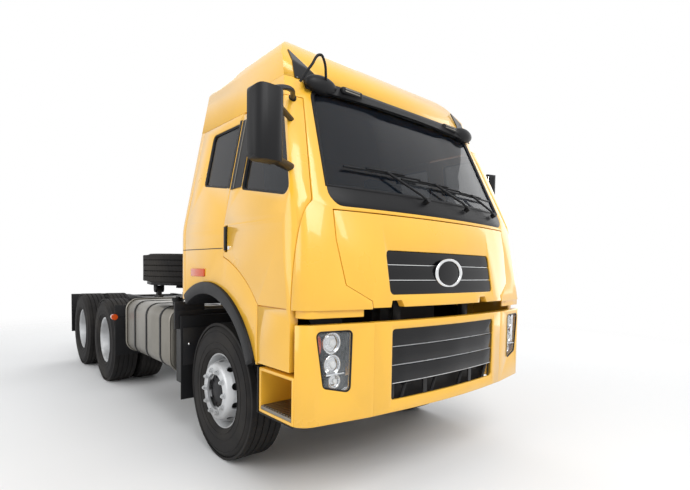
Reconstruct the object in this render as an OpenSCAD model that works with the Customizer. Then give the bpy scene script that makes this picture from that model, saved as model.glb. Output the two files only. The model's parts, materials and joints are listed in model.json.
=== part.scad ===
// Semi truck tractor unit: a forward-control three-axle tractor with a tilting cab,
// twin driven rear axles and a fifth wheel. X points forward, Y to the left, Z up.
// The origin is on the ground, in the middle of the overall length and width.

/* [Vehicle] */
// Distance from the bumper's face to the front axle
front_overhang = 1400; // [1350:10:1450]
// Distance from the front axle to the first rear axle
wheelbase = 3300; // [3250:10:3400]
// Distance between the two rear axles
tandem_spacing = 1350; // [1300:10:1400]
// Distance from the last axle to the rear end
rear_overhang = 750; // [700:10:900]
// Centre distance of the front tyres
front_track = 2020; // [1980:5:2060]
// Centre distance of the twin tyre pairs
rear_track = 1830; // [1800:5:1850]

/* [Wheels] */
// Outer diameter of a tyre
tyre_d = 1080; // [1040:5:1100]
// Width of a tyre
tyre_w = 290; // [270:5:300]
// Diameter of the rim's outer flange
rim_d = 600; // [580:5:620]
// Centre distance of the two tyres of a twin wheel
twin_spacing = 335; // [330:1:350]
// Number of wheel nuts and of hand holes
nut_count = 10; // [8:1:12]

/* [Frame] */
// Width over the frame rails
frame_w = 860; // [820:10:900]
// Height of a frame rail
rail_h = 280; // [250:10:300]
// Width of a rail's flange
rail_flange = 80; // [70:5:90]
// Thickness of the rail's steel
rail_t = 10; // [8:1:14]
// Height of the frame's top face
frame_top = 1020; // [1000:10:1040]

/* [Cab] */
// Width of the cab at the belt
cab_w = 2480; // [2440:10:2500]
// Height of the roof's crown
cab_top = 3250; // [3200:10:3300]
// Height of the cab's belt, where the windscreen starts
belt_z = 1945; // [1900:5:1980]
// Lower edge of the cab's front
cab_low_z = 1275; // [1270:1:1285]
// Thickness of the cab's walls and doors
wall = 55; // [40:5:60]
// Lean of the windscreen
screen_lean = 25.4; // [22:0.2:27]
// Lean of the cab's front below the belt
nose_lean = 10.5; // [8:0.5:12]
// Gap round doors and lids
gap = 7; // [6:1:10]
// Thickness of the window glass
glass_t = 6; // [5:1:8]

/* [Bumper] */
// Height of the bumper's top edge
bumper_top = 1190; // [1180:1:1195]
// Height of the bumper's lower edge
bumper_low = 590; // [560:5:620]
// Thickness of the bumper's skin
bumper_t = 26; // [20:1:32]

/* [Fifth wheel] */
// Height of the coupling plate's top
fifth_top = 1290; // [1270:5:1310]
// How far the coupling sits ahead of the middle of the rear axles
fifth_lead = 150; // [0:10:250]
// Width of the coupling plate
fifth_w = 920; // [880:10:940]
// Radius of the closed jaws round the king pin
jaw_r = 25.6; // [25.5:0.1:26]

/* [Hidden] */

$fn = 120;
// Overrun of every cut past the face it starts from
over = 10;
// Gap between a pin and its bore, as a radius
pin_gap = 0.3;

// Places along the vehicle
overall_length = front_overhang + wheelbase + tandem_spacing + rear_overhang;
front_x = overall_length / 2;
rear_x = -overall_length / 2;
fa = front_x - front_overhang;
mid_x = fa - wheelbase;
last_x = mid_x - tandem_spacing;
tandem_x = (mid_x + last_x) / 2;
axle_z = tyre_d / 2;

// Colours
paint = "#f2b01e";
black = "#232426";
rubber = "#1c1c1c";
steel = "#4a4c4e";
alloy = "#a9a9a4";
silver = "#c9cacb";
glass = "#3b4650";

// Frame
rail_in = frame_w / 2 - rail_flange;
frame_low = frame_top - rail_h;
cross_w = 120;
cross_h = 180;
cross_gap = 16;
pivot_ahead = 1280;
pivot_x = fa + pivot_ahead;
pivot_z = 1100;
pivot_y = 400;
pivot_r = 18;
ear_t = 20;
ear_r = 45;
ear_space = 90;
// The cab's rear rests stand this far ahead of its back panel
rest_set = 30;

// Wheels and tyres
flange_w = 14;
rim_w = 230;
rim_wall = 10;
bead_r = rim_d / 2 - flange_w;
tread_crown = 12;
tread_share = 0.80;
disc_t = 14;
nut_pcd = 335;
nut_r = 16;
nut_h = 24;
hole_r = 30;
hole_ring_share = 0.76;
hub_r = 140;
hub_bore = 45.4;
spindle_r = 45;
drum_r = 210;
cap_r = 75;
front_face_out = 105;
twin_hub_r = 140;

// Front axle and steering
king_y = 870;
king_r = 22;
king_h = 250;
eye_r = 52;
eye_h = 90;
fork_gap = 6;
fork_h = 45;
beam_w = 90;
beam_h = 110;
beam_drop = 110;
neck_in = 130;
neck_rise = 50;
web_t = 30;
flange_t = 24;
arm_back = 200;
arm_t = 30;
arm_w = 50;
ball_r = 26;
tie_r = 20;
plate_r = 195;
plate_t = 12;

// Leaf springs
leaf_w = 76;
leaf_t = 16;
front_leaves = 5;
rear_leaves = 10;
front_spring_len = 1500;
rear_spring_len = 1250;
spring_y = 395;
rear_spring_y = 515;
camber = 90;
clip_t = 8;

// Rear axles
tube_r = 70;
diff_r = 215;
diff_w = 190;
nose_r = 95;
nose_len = 190;
seat_w = 120;
seat_h = 40;

// Engine and driveline
engine_len = 1250;
engine_w = 640;
engine_back = 720;
engine_low = 660;
engine_top = 1230;
gear_len = 760;
gear_r = 230;
shaft_r = 55;
yoke_r = 75;
yoke_len = 90;
boss_r = 80;
boss_len = 40;
radiator_t = 90;
radiator_w = 640;
radiator_low = 700;
radiator_top = 1240;
radiator_ahead = 880;
radiator_x = fa + radiator_ahead;

// Fuel tank on the right, silencer and air tanks on the left
tank_front = 930;
tank_clear = 410;
tank_back = wheelbase - tyre_d / 2 - tank_clear;
tank_out = 1190;
tank_in = 520;
tank_low = 530;
tank_top = 1125;
tank_r = 120;
strap_w = 45;
strap_t = 5;
strap_shares = [0.20, 0.48, 0.78];
cap_w = 90;
muffler_d = 560;
air_d = 250;
air_len = 800;
locker_share = 0.437;
locker_len = locker_share * (tank_back - tank_front);

// Heights of the cab's lines above the belt, as shares of the height from the belt to the crown
upper_h = cab_top - belt_z;
sill_share = 0.1456;
window_share = 0.4958;
door_share = 0.544;
roof_share = 0.551;
visor_share = 0.5955;
screen_share = 0.6107;
header_share = 0.659;
eave_share = 0.808;
sill_z = belt_z + sill_share * upper_h;
window_top = belt_z + window_share * upper_h;
door_top = belt_z + door_share * upper_h;
roof_line = belt_z + roof_share * upper_h;
visor_low = belt_z + visor_share * upper_h;
screen_top = belt_z + screen_share * upper_h;
header_z = belt_z + header_share * upper_h;
eave_z = belt_z + eave_share * upper_h;

// Cab form
cab_behind = 500;
cab_back_x = fa - cab_behind;
nose_ahead = 1275;
nose_x = fa + nose_ahead;
bow_r = 5400;
corner_r = 140;
bow_end = 760;
bow_steps = 10;
tumble_z = 1820;
tumble_r = 700;
eave_y = 1010;
eave_r = 260;
crown_y = 880;
crown_drop = 45;
roof_back_r = 240;
roof_set = 40;
roof_front_r = 420;
roof_slope = 41;
// The roof's sloping front starts just behind the top of the screen
roof_front_x = nose_x - (header_z - belt_z) * tan(screen_lean) - roof_set
    - (cab_top - header_z) * tan(roof_slope);
form_low = 700;
form_back = 3000;

// Panel lines of the cab, measured from the front axle
door_front = 1160;
door_back = 270;
door_lean = 23;
door_reach = 126;
door_low = 1282;
sill_slope_share = 0.155;
window_front_in = 62;
window_back = 440;
quarter_front = 245;
quarter_back = -235;
window_r = 45;
arch_z = 600;
arch_r = 715;
flare_w = 92;
fender_r = 1030;
fender_back_z = 1662;
fender_low = 890;
fender_front = 770;
fender_cut = 65;
flap_top = 1893;
flap_top_y = 962;
flap_side_z = 1700;
flap_mid_z = 1425;
flap_mid_y = 925;
flap_low_z = 1325;
flap_low_y = 750;
cowl_drop = 30;
cowl_rise = 95;
screen_low = belt_z - cowl_drop;
glass_low = belt_z + cowl_rise;
screen_low_y = 985;
screen_top_y = 872;
screen_r = 90;
floor_z = 1350;
floor_t = 40;

// Upper grille on the flap
grille_w = 1190;
grille_low = 1362;
grille_top = 1652;
grille_r = 30;
grille_lip = 20;
panel_t = 12;
band_gap = 1;
slat_count = 3;
// Notches in the flap's lower edge
notch_ys = [-545, 420];
notch_w = 120;
notch_top = 80;
notch_h = 50;
slat_gap = 14;

// Lower grille in the bumper
mouth_w = 1180;
mouth_low = 672;
mouth_top = 1138;
mouth_r = 26;
bar_t = 24;
bar_gap = 14;
bar_count = 3;
post_w = 36;
split_y = 735;
bumper_back = 1196;
bumper_x = front_x;
bumper_corner_r = 120;
bumper_nose = 70;
lamp_out_y = 1135;
lamp_in_y = 895;
lamp_low_in = 770;
lamp_low_out = 815;
lamp_top = 1150;
lamp_low_in_y = 905;
lamp_low_out_y = 1085;
lamp_r = 28;
lamp_deep = 90;

// Steps under the doors
step_back = 800;
step_in = 880;
step_top = 880;
step_t = 20;

// Mudguards
guard_t = 12;
guard_y_in = 640;
flap_low = 330;
rear_flap_low = 430;
rear_guard_y_in = 560;
rear_guard_y_out = 1245;
guard_top = 1085;

// Spare wheel
spare_behind = 1500;
spare_x = fa - spare_behind;
spare_y = -700;
spare_z = 1500;
post_r = 40;
carrier_t = 40;

// Air intake behind the cab
intake_behind = 640;
intake_x = fa - intake_behind;
intake_y = -900;
intake_w = 200;
intake_d = 120;
intake_top = 2560;
intake_low = 1240;
intake_r = 40;

// Fifth wheel
fifth_x = tandem_x + fifth_lead;
fifth_t = 55;
throat_w = 300;
trunnion_r = 30;
trunnion_eye_r = 45;
trunnion_z = 1180;
trunnion_y = 330;
base_t = 20;
base_w = 1000;
base_len = 700;
pedestal_w = 60;
pedestal_len = 220;
jaw_t = 50;
jaw_wall = 60;
deck_len = 620;
deck_t = 20;

// Tail lamps
lamp_bar_h = 110;
lamp_bar_t = 40;
tail_w = 360;
tail_h = 120;
tail_t = 60;

// Mirrors
mirror_h = 400;
mirror_w = 200;
mirror_t = 110;
mirror_x = 1180;
mirror_y = 1415;
mirror_z = 2305;
mirror_root_xs = [990, 875];
mirror_root_ys = [1105, 1050];
mirror_fold = 70;
mirror_arm_rs = [28, 18];
mirror_r = 45;
mirror_nose_r = 75;
mirror_edge_r = 15;

// Cab inside
dash_top = 1930;
dash_low = 1520;
dash_deep = 330;
wheel_ring_r = 235;
ring_r = 17;
wheel_x = 640;
wheel_y = 520;
wheel_z = 1960;
wheel_tilt = 32;
seat_x = 130;
seat_y = 560;
seat_w2 = 500;
cushion_len = 480;
cushion_t = 130;
cushion_z = 1700;
back_h = 720;
back_t = 120;
back_lean = 10;
bunk_len = 260;

// Visor, wipers
visor_out = 34;
visor_t = 14;
visor_y = 930;
wiper_r = 9;
wiper_len = 560;
wiper_arm = 330;
wiper_ys = [-620, -60, 480];
blade_w = 16;
cowl_out = 14;

// Cab floor and hinge arms
wall_x = 1215;
wall_t = 20;
arm_len = 105;
arm_r = 40;
arm_set = 60;
screen_set = 10;
pane_set = 20;
visor_shares = [-0.85, -0.3, 0.3, 0.85];
flare_out = 22;
liner_t = 12;
liner_in = 640;
arch_front = 22;
arch_back = 122;
wiper_up = 62;
wiper_deep = 60;
wiper_out = 22;
wiper_turn = 62;
blade_turn = 20;
mirror_arm_shares = [-0.42, 0.42];
dash_fall = 70;
dash_r = 40;
column_len = 420;
column_r = 40;
seat_in = 60;
bunk_half = 1000;
bunk_h = 330;
slat_set = 8;
skirt_low = 905;
seam_in = 40;
seam_deep = 16;
handle_x = 292;
handle_w = 46;
handle_z = 1630;
handle_h = 190;
handle_deep = 22;
hub_out = 75;
tie_pin_r = 13;
rear_droop = 45;
leaf_cut_share = 0.085;
hang_share = 0.75;
gear_z = 800;
mount_h = 60;
mount_shares = [0.2, 0.75];
shaft_drop = 40;
filler_in = 230;
filler_back = 130;
filler_h = 40;
muffler_y = 850;
muffler_z = 800;
muffler_share = 0.507;
muffler_len = muffler_share * (tank_back - tank_front);
locker_in = 560;
air_y = 210;
// The cross member that the air tanks hang from
air_cross = 4;
beam_low = 800;
lamp_set = 4;
bar_set = 8;
slot_h = 110;
post_shares = [-0.97, -0.45, 0.45, 0.97];
step_mount = 940;
guard_front = 650;
guard_deep = 110;
guard_in = 40;
guard_low = 480;
rear_guard_off = 645;
rear_guard_top = 1042;
lamp_bar_y = 1000;
lamp_bar_z = 850;
pedestal_up = 40;
trunnion_back = 60;
deck_behind = 2420;
deck_x = fa - deck_behind;
lug_gap = 6;
lug_t = 24;
fifth_ahead = 330;
fifth_behind = 520;
fifth_r = 120;
nose_share = 0.55;
tail_share = 0.8;
throat_in = 20;
bulge_share = 0.3;
wall_share = 0.22;
shoulder_share = 0.88;
well = 26;
disc_share = 0.8;
dish_share = 0.72;
foot_share = 0.35;
twin_foot_share = 0.45;
cap_h = 40;
hub_back = -60;
drum_back = -75;
drum_front = 70;
hub_front = 120;
twin_drum_back = -295;

// Builds a closed outline from corners given as [x, y, radius], each corner rounded by an arc
function unit(v) = v / norm(v);
function corner_arc(a, b, c, r, n) =
    r <= 0 ? [[b[0], b[1]]] :
    let(p = [b[0], b[1]], u = unit([a[0], a[1]] - p), v = unit([c[0], c[1]] - p),
        half = acos(max(-1, min(1, u * v))) / 2, t = r / tan(half), m = unit(u + v),
        o = p + m * r / sin(half), s = p + u * t - o, e = p + v * t - o,
        a0 = atan2(s[1], s[0]), sweep = atan2(s[0] * e[1] - s[1] * e[0], s * e))
    [for (i = [0:n]) o + r * [cos(a0 + sweep * i / n), sin(a0 + sweep * i / n)]];
function rounded(pts, n = 8) =
    let(k = len(pts))
    [for (i = [0:k - 1]) each corner_arc(pts[(i + k - 1) % k], pts[i], pts[(i + 1) % k], pts[i][2], n)];
function turn(p, a) = [p[0] * cos(a) - p[1] * sin(a), p[0] * sin(a) + p[1] * cos(a)];
function arc_points(c, r, a0, a1, n) = [for (i = [0:n]) c + r * [cos(a0 + (a1 - a0) * i / n),
    sin(a0 + (a1 - a0) * i / n)]];

module along_y(pts, y0, y1) translate([0, y1, 0]) rotate([90, 0, 0]) linear_extrude(y1 - y0) polygon(pts);
module along_x(pts, x0, x1) translate([x0, 0, 0]) rotate([90, 0, 90]) linear_extrude(x1 - x0) polygon(pts);
module along_z(pts, z0, z1) translate([0, 0, z0]) linear_extrude(z1 - z0) polygon(pts);
module block(a, b) translate(a) cube(b - a);
module rod_y(r, y0, y1) translate([0, y0, 0]) rotate([-90, 0, 0]) cylinder(r = r, h = y1 - y0);
module rod_x(r, x0, x1) translate([x0, 0, 0]) rotate([0, 90, 0]) cylinder(r = r, h = x1 - x0);
module both_sides() {
    children();
    mirror([0, 1, 0]) children();
}
module on_side(side) {
    if (side > 0) children();
    else mirror([0, 1, 0]) children();
}

// The cab's outer form, taken in by d on every side: two prisms that lean with the screen and
// with the nose, cut by the side outline of the roof and the front outline with its tumblehome
function nose_at(y, d) = nose_x - d - (bow_r - sqrt(bow_r * bow_r - y * y));
function plan_outline(d) =
    let(h = cab_w / 2 - d, x0 = nose_at(h, d), r = corner_r - d / 2)
    rounded([[-form_back, -h, 0], [x0, -h, r],
        for (i = [0:bow_steps]) let(y = bow_end * (2 * i / bow_steps - 1)) [nose_at(y, d), y, 0],
        [x0, h, r], [-form_back, h, 0]]);
module leaning_prism(d, lean, low, high) {
    pts = [for (p = plan_outline(d)) [(p[0] - nose_x) * cos(lean), p[1]]];
    translate([nose_x, 0, belt_z]) rotate([0, -lean, 0]) translate([0, 0,
        low]) linear_extrude(high - low) polygon(pts);
}
module front_outline(d, x0, x1) {
    h = cab_w / 2 - d;
    along_x(rounded([[-h, form_low, 0], [h, form_low, 0], [h, tumble_z, tumble_r], [eave_y - d, eave_z, 0],
        [crown_y - d, cab_top - crown_drop - d, eave_r - d / 2], [0, cab_top - d, 0],
        [-crown_y + d, cab_top - crown_drop - d, eave_r - d / 2], [-eave_y + d, eave_z, 0], [-h,
            tumble_z, tumble_r]], 10),
        x0, x1);
}
module side_outline(d) {
    h = cab_w;
    reach = front_x - roof_front_x;
    along_y(rounded([[cab_back_x + d, form_low, 0], [front_x + over, form_low, 0],
        [roof_front_x + reach + over,
            cab_top - d / cos(roof_slope) - (reach + over) * tan(90 - roof_slope), 0],
        [roof_front_x - d / 2, cab_top - d, roof_front_r - d], [cab_back_x + d, cab_top - d,
            roof_back_r - d / 2]], 10), -h, h);
}
module cab_form(d) {
    intersection() {
        union() {
            intersection() {
                leaning_prism(d, screen_lean, -cab_top, cab_top);
                block([-form_back, -cab_w, belt_z], [front_x, cab_w, cab_top + over]);
            }
            intersection() {
                leaning_prism(d, nose_lean, -cab_top, cab_top);
                block([-form_back, -cab_w, form_low - over], [front_x, cab_w, belt_z]);
            }
        }
        front_outline(d, -form_back, front_x + over);
        side_outline(d);
    }
}
module cab_shell() {
    difference() {
        cab_form(0);
        cab_form(wall);
    }
}

// Outlines of the panels, seen from the side, measured from the vehicle's origin
function lean_x(z) = fa + door_front - (z > belt_z ? (z - belt_z) * tan(door_lean) : 0);
function fender_arc(r, x0, x1, n) =
    [for (i = [0:n]) let(x = x0 + (x1 - x0) * i / n) [fa + x, arch_z + sqrt(r * r - x * x)]];
function door_outline(g) =
    [[lean_x(belt_z) - g, door_low + g], [lean_x(belt_z) - g, belt_z], [lean_x(door_top) - g, door_top - g],
        [fa + door_back + g, door_top - g], each fender_arc(fender_r + g, door_back + g, fender_front, 10),
        [fa + fender_front, door_low + g]];
function sill(x) = sill_z - sill_slope_share * x;
function door_window(d) =
    rounded([[fa + window_back + d, sill(window_back) + d, window_r],
        [lean_x(belt_z) - window_front_in - d, sill(door_front) + d, window_r],
        [lean_x(window_top) - window_front_in - d, window_top - d, window_r], [fa + window_back + d,
            window_top - d, window_r]], 5);
function quarter_window(d) =
    rounded([[fa + quarter_back + d, sill(quarter_back) + d, window_r], [fa + quarter_front - d,
        sill(quarter_front) + d, window_r],
        [fa + quarter_front - d, window_top - d, window_r], [fa + quarter_back + d, window_top - d,
            window_r]], 5);
function flap_outline(g) =
    [[-flap_low_y + g, cab_low_z + g], [flap_low_y - g, cab_low_z + g], [flap_low_y - g, flap_low_z],
        [flap_mid_y - g, flap_mid_z], [flap_top_y - g, flap_side_z], [flap_top_y - g, flap_top - g],
        [-flap_top_y + g, flap_top - g], [-flap_top_y + g, flap_side_z], [-flap_mid_y + g, flap_mid_z],
        [-flap_low_y + g, flap_low_z]];
function screen_outline(low, d) =
    rounded([[-screen_low_y + d, low + d, screen_r], [screen_low_y - d, low + d, screen_r],
        [screen_top_y - d, screen_top - d, screen_r], [-screen_top_y + d, screen_top - d, screen_r]], 6);
// Space in front of the doors and of the roof's edge, where the cab's front frame lies
function front_zone() =
    [[lean_x(belt_z), cab_low_z], [front_x, cab_low_z], [front_x, header_z],
        [lean_x(header_z) - 2 * corner_r, header_z],
        [lean_x(door_top) - corner_r, roof_line - over], [lean_x(door_top), door_top], [lean_x(belt_z),
            belt_z]];

// All that lies ahead of the doors' front edges or inboard of their corners
module front_frame() {
    along_y(front_zone(), -cab_w, cab_w);
    intersection() {
        front_outline(door_reach, fa, front_x);
        along_y([[lean_x(belt_z) - corner_r, cab_low_z], [lean_x(belt_z) + over, cab_low_z],
            [lean_x(belt_z) + over, belt_z],
            [lean_x(roof_line) + over, roof_line], [lean_x(roof_line) - corner_r, roof_line],
                [lean_x(belt_z) - corner_r, belt_z]],
            -cab_w, cab_w);
    }
}
module cab_front() {
    color(paint) difference() {
        intersection() {
            cab_shell();
            front_frame();
        }
        along_x(screen_outline(screen_low, 0), fa, front_x + over);
        along_x(flap_outline(0), fa, front_x + over);
    }
}
module cab_roof() {
    color(paint) difference() {
        intersection() {
            cab_shell();
            block([cab_back_x - over, -cab_w, roof_line], [front_x, cab_w, cab_top + over]);
        }
        along_y(front_zone(), -cab_w, cab_w);
        along_x(screen_outline(screen_low, 0), fa, front_x + over);
    }
}
// Rear quarter panel with its window and the fender below it, one on each side
module cab_sides() {
    h = cab_w / 2;
    color(paint) both_sides() difference() {
        intersection() {
            cab_shell();
            block([cab_back_x + wall, -h - over, fender_low], [fa + fender_front, -h + 4 * wall,
                roof_line]);
        }
        along_y(door_outline(0), -h - over, 0);
        block([fa + door_back + gap, -h - over, fender_back_z], [fa + fender_front + over, 0,
            roof_line + over]);
        along_y(quarter_window(0), -h - over, 0);
        translate([fa, -h - over, arch_z]) rod_y(arch_r + flare_w, 0, h);
        block([cab_back_x, -h - over, form_low], [fa, 0, arch_z + arch_r * sin(fender_cut)]);
    }
}
module cab_back() {
    color(paint) intersection() {
        cab_shell();
        block([cab_back_x - over, -cab_w, arch_z + arch_r * sin(fender_cut)], [cab_back_x + wall, cab_w, roof_line]);
    }
}

// A flat floor with a bulkhead ahead of it, and the two arms that carry the cab's front pins
module cab_floor() {
    color(black) {
        difference() {
            union() {
                intersection() {
                    cab_form(wall + gap);
                    block([cab_back_x + wall, -cab_w, floor_z], [fa + wall_x, cab_w, floor_z + floor_t]);
                }
                intersection() {
                    cab_form(wall);
                    block([fa + wall_x - wall_t, -cab_w, floor_z], [fa + wall_x, cab_w, flap_top]);
                }
            }
            // Room for the flap to swing
            difference() {
                along_x(flap_outline(0), fa, front_x + over);
                cab_form(wall + gap);
            }
        }
        both_sides() translate([0, -pivot_y, 0]) cab_arm();
    }
}
module cab_arm() {
    w = ear_space / 2 - gap;
    block([pivot_x - arm_len, -w, floor_z - arm_len], [fa + wall_x, w, floor_z]);
    block([pivot_x - arm_len, -w, pivot_z - arm_r], [pivot_x, w, pivot_z]);
    block([pivot_x - arm_len, -w, pivot_z - arm_r], [pivot_x - arm_set, w, floor_z]);
    translate([pivot_x, 0, pivot_z]) rod_y(arm_r, -w, w);
    translate([pivot_x, 0, pivot_z]) rod_y(pivot_r, -ear_space / 2 - ear_t, ear_space / 2 + ear_t);
}
module screen_part(d, t, low, high) {
    intersection() {
        difference() {
            cab_form(d);
            cab_form(d + t);
        }
        along_x(screen_outline(screen_low, 0), fa, front_x);
        block([fa, -cab_w, low], [front_x, cab_w, high]);
    }
}
module windscreen() color(glass) screen_part(screen_set, glass_t, glass_low, cab_top);
module cowl_panel() color(black) screen_part(0, wall - cowl_out, screen_low, glass_low);
module pane(pts) {
    intersection() {
        difference() {
            cab_form(pane_set);
            cab_form(pane_set + glass_t);
        }
        along_y(pts, -cab_w, 0);
    }
}
module side_glass() color(glass) both_sides() pane(quarter_window(0));
module door_glass_right() color(glass) pane(door_window(0));
module door_glass_left() color(glass) mirror([0, 1, 0]) pane(door_window(0));
module sun_visor() {
    color(black) {
        intersection() {
            difference() {
                cab_form(-visor_out);
                cab_form(-visor_out + visor_t);
            }
            block([fa, -visor_y, visor_low], [front_x, visor_y, header_z]);
        }
        for (k = visor_shares)
            intersection() {
                difference() {
                    cab_form(-visor_out + visor_t / 2);
                    cab_form(0);
                }
                block([fa, k * visor_y - visor_t, screen_top + visor_t], [front_x, k * visor_y + visor_t,
                    header_z]);
            }
    }
}
// Black flare round the wheel opening, with the liner that closes the arch over the tyre
module wheel_arches() {
    h = cab_w / 2;
    color(black) both_sides() difference() {
        union() {
            translate([fa, -h - flare_out, arch_z]) rod_y(arch_r + flare_w, 0, flare_out + wall);
            translate([fa, -h - flare_out, arch_z]) rod_y(arch_r + liner_t, 0, h + flare_out - liner_in);
        }
        translate([fa, -h - flare_out - over, arch_z]) rod_y(arch_r, 0, h + flare_out);
        along_y([[fa, arch_z], [fa + 2 * arch_r * cos(arch_front), arch_z + 2 * arch_r * sin(arch_front)],
            [fa + 2 * arch_r, -arch_r], [fa - 2 * arch_r, -arch_r],
            [fa + 2 * arch_r * cos(arch_back), arch_z + 2 * arch_r * sin(arch_back)]], -2 * h, 0);
    }
}
// Three wipers parked along the foot of the screen
module wipers() {
    color(black) difference() {
        for (y = wiper_ys) {
            bow = nose_x - nose_at(y, 0);
            translate([nose_x, 0, belt_z]) rotate([0, -screen_lean,
                0]) translate([-bow * cos(screen_lean), y, wiper_up]) {
                rod_x(2 * wiper_r, -wiper_deep, wiper_out + wiper_r);
                translate([wiper_out, 0, 0]) rotate([wiper_turn, 0, 0]) {
                    block([0, -wiper_r, 0], [blade_w, wiper_r, wiper_arm]);
                    translate([0, 0, wiper_arm]) rotate([blade_turn, 0, 0])
                        block([-blade_w, -wiper_r, -wiper_len / 2], [blade_w, wiper_r, wiper_len / 2]);
                }
            }
        }
        cab_form(0);
    }
}
function box_outline(a, b, r) = rounded([[a[0], a[1], r], [b[0], a[1], r], [b[0], b[1], r], [a[0], b[1],
    r]], 5);
module rod_between(a, b, r) {
    d = b - a;
    translate(a) rotate([0, acos(d[2] / norm(d)), atan2(d[1], d[0])]) cylinder(r = r, h = norm(d));
}
// A mirror on its two arms, swung back about the lower arm's root by fold
module mirror_set(fold) {
    root = [fa + mirror_root_xs[0], -mirror_root_ys[0]];
    place = root + turn([mirror_x - mirror_root_xs[0], mirror_root_ys[0] - mirror_y], fold);
    w = mirror_w / 2;
    t = mirror_t / 2;
    difference() {
        union() {
            translate([place[0], place[1], mirror_z]) rotate([0, 0, fold]) intersection() {
                along_x(box_outline([-w, -mirror_h / 2], [w, mirror_h / 2], mirror_r), -mirror_t, mirror_t);
                along_z(rounded([[-t, -w, mirror_edge_r], [t, -w, mirror_nose_r], [t, w, mirror_nose_r],
                    [-t, w, mirror_edge_r]]),
                    -mirror_h, mirror_h);
            }
            for (k = [0, 1]) {
                z = mirror_z + mirror_arm_shares[k] * mirror_h;
                rod_between([place[0], place[1], z], [fa + mirror_root_xs[k], -mirror_root_ys[k], z],
                    mirror_arm_rs[k]);
            }
        }
        cab_form(0);
    }
}
module mirror_right() color(black) mirror_set(0);
module mirror_left() color(black) mirror([0, 1, 0]) mirror_set(-mirror_fold);
module dashboard() {
    color(black) {
        intersection() {
            cab_form(wall + gap);
            front_outline(door_reach + gap, fa, front_x);
            along_y(rounded([[fa + wall_x - wall_t, dash_low, 0], [fa + wall_x - wall_t, dash_top, 0],
                [fa + wall_x - dash_deep, dash_top - dash_fall, dash_r],
                    [fa + wall_x - dash_deep - dash_fall, dash_low + dash_fall, dash_r],
                [fa + wall_x - dash_deep, dash_low, 0]]), -cab_w, cab_w);
        }
        translate([fa + wheel_x, wheel_y, wheel_z]) rotate([0, -wheel_tilt, 0]) {
            rotate_extrude() translate([wheel_ring_r, 0]) circle(r = ring_r);
            for (a = [0:120:240]) rotate([0, 0, a]) block([0, -ring_r, -ring_r / 2], [wheel_ring_r,
                ring_r, ring_r / 2]);
            translate([0, 0, -column_len]) cylinder(r = column_r, h = column_len);
        }
    }
}
module seats() {
    color(black) {
        both_sides() translate([fa + seat_x, seat_y - seat_w2 / 2, 0]) {
            run = back_h * sin(back_lean);
            block([seat_in, seat_in, floor_z + floor_t], [cushion_len - seat_in, seat_w2 - seat_in,
                cushion_z - cushion_t]);
            along_y([[0, cushion_z - cushion_t], [cushion_len, cushion_z - cushion_t], [cushion_len,
                cushion_z], [back_t, cushion_z],
                [back_t - run, cushion_z + back_h], [-run, cushion_z + back_h]], 0, seat_w2);
        }
        block([cab_back_x + wall, -bunk_half, floor_z + floor_t], [cab_back_x + wall + bunk_len,
            bunk_half, floor_z + floor_t + bunk_h]);
    }
}

module flap_region(g) along_x(flap_outline(g), fa, front_x + over);
module front_flap() {
    color(paint) difference() {
        intersection() {
            cab_shell();
            flap_region(gap);
        }
        along_x(grille_outline(0), fa, front_x + over);
        for (y = notch_ys)
            along_x([[y - notch_w / 2, cab_low_z], [y + notch_w / 2, cab_low_z], [y + notch_top / 2,
                cab_low_z + notch_h],
                [y - notch_top / 2, cab_low_z + notch_h]], fa, front_x + over);
    }
}
// Black panel clipped to the flap's back, with bands that fill its opening
function grille_outline(d) =
    box_outline([-grille_w / 2 + d, grille_low + d], [grille_w / 2 - d, grille_top - d], grille_r);
module upper_grille() {
    pitch = (grille_top - grille_low - 2 * band_gap + slat_gap) / slat_count;
    y = grille_w / 2 - band_gap;
    color(black) union() {
        intersection() {
            difference() {
                cab_form(wall);
                cab_form(wall + panel_t);
            }
            along_x(grille_outline(-grille_lip), fa, front_x);
        }
        for (i = [0:slat_count - 1]) {
            z = grille_low + band_gap + i * pitch;
            intersection() {
                difference() {
                    cab_form(slat_set);
                    cab_form(wall + panel_t / 2);
                }
                along_x(box_outline([-y, z], [y, z + pitch - slat_gap], slat_set), fa, front_x);
                along_x(grille_outline(band_gap), fa, front_x);
            }
        }
    }
}
// One door: the panel with its window, reaching down over the step as the lower skirt
module door_right() {
    h = cab_w / 2;
    x1 = lean_x(belt_z) - gap;
    skirt_x = fa + fender_front + gap;
    color(paint) difference() {
        intersection() {
            cab_shell();
            union() {
                along_y(door_outline(gap), -h - over, -h + 6 * wall);
                block([skirt_x, -h - over, skirt_low], [x1, -h + 6 * wall, door_low + 2 * gap]);
            }
        }
        front_outline(door_reach - gap, fa, front_x + over);
        along_y(door_window(0), -h - over, 0);
        block([skirt_x - over, -h - over, door_low - gap], [x1 - seam_in, -h + seam_deep, door_low]);
        translate([fa + handle_x, 0, handle_z]) block([0, -h - over, 0], [handle_w, -h + handle_deep,
            handle_h]);
    }
}
module door_left() mirror([0, 1, 0]) door_right();

// Chassis
frame_back = rear_x + lamp_bar_t;
frame_front = pivot_x + ear_r;
gear_back = fa - engine_back - gear_len;
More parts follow.
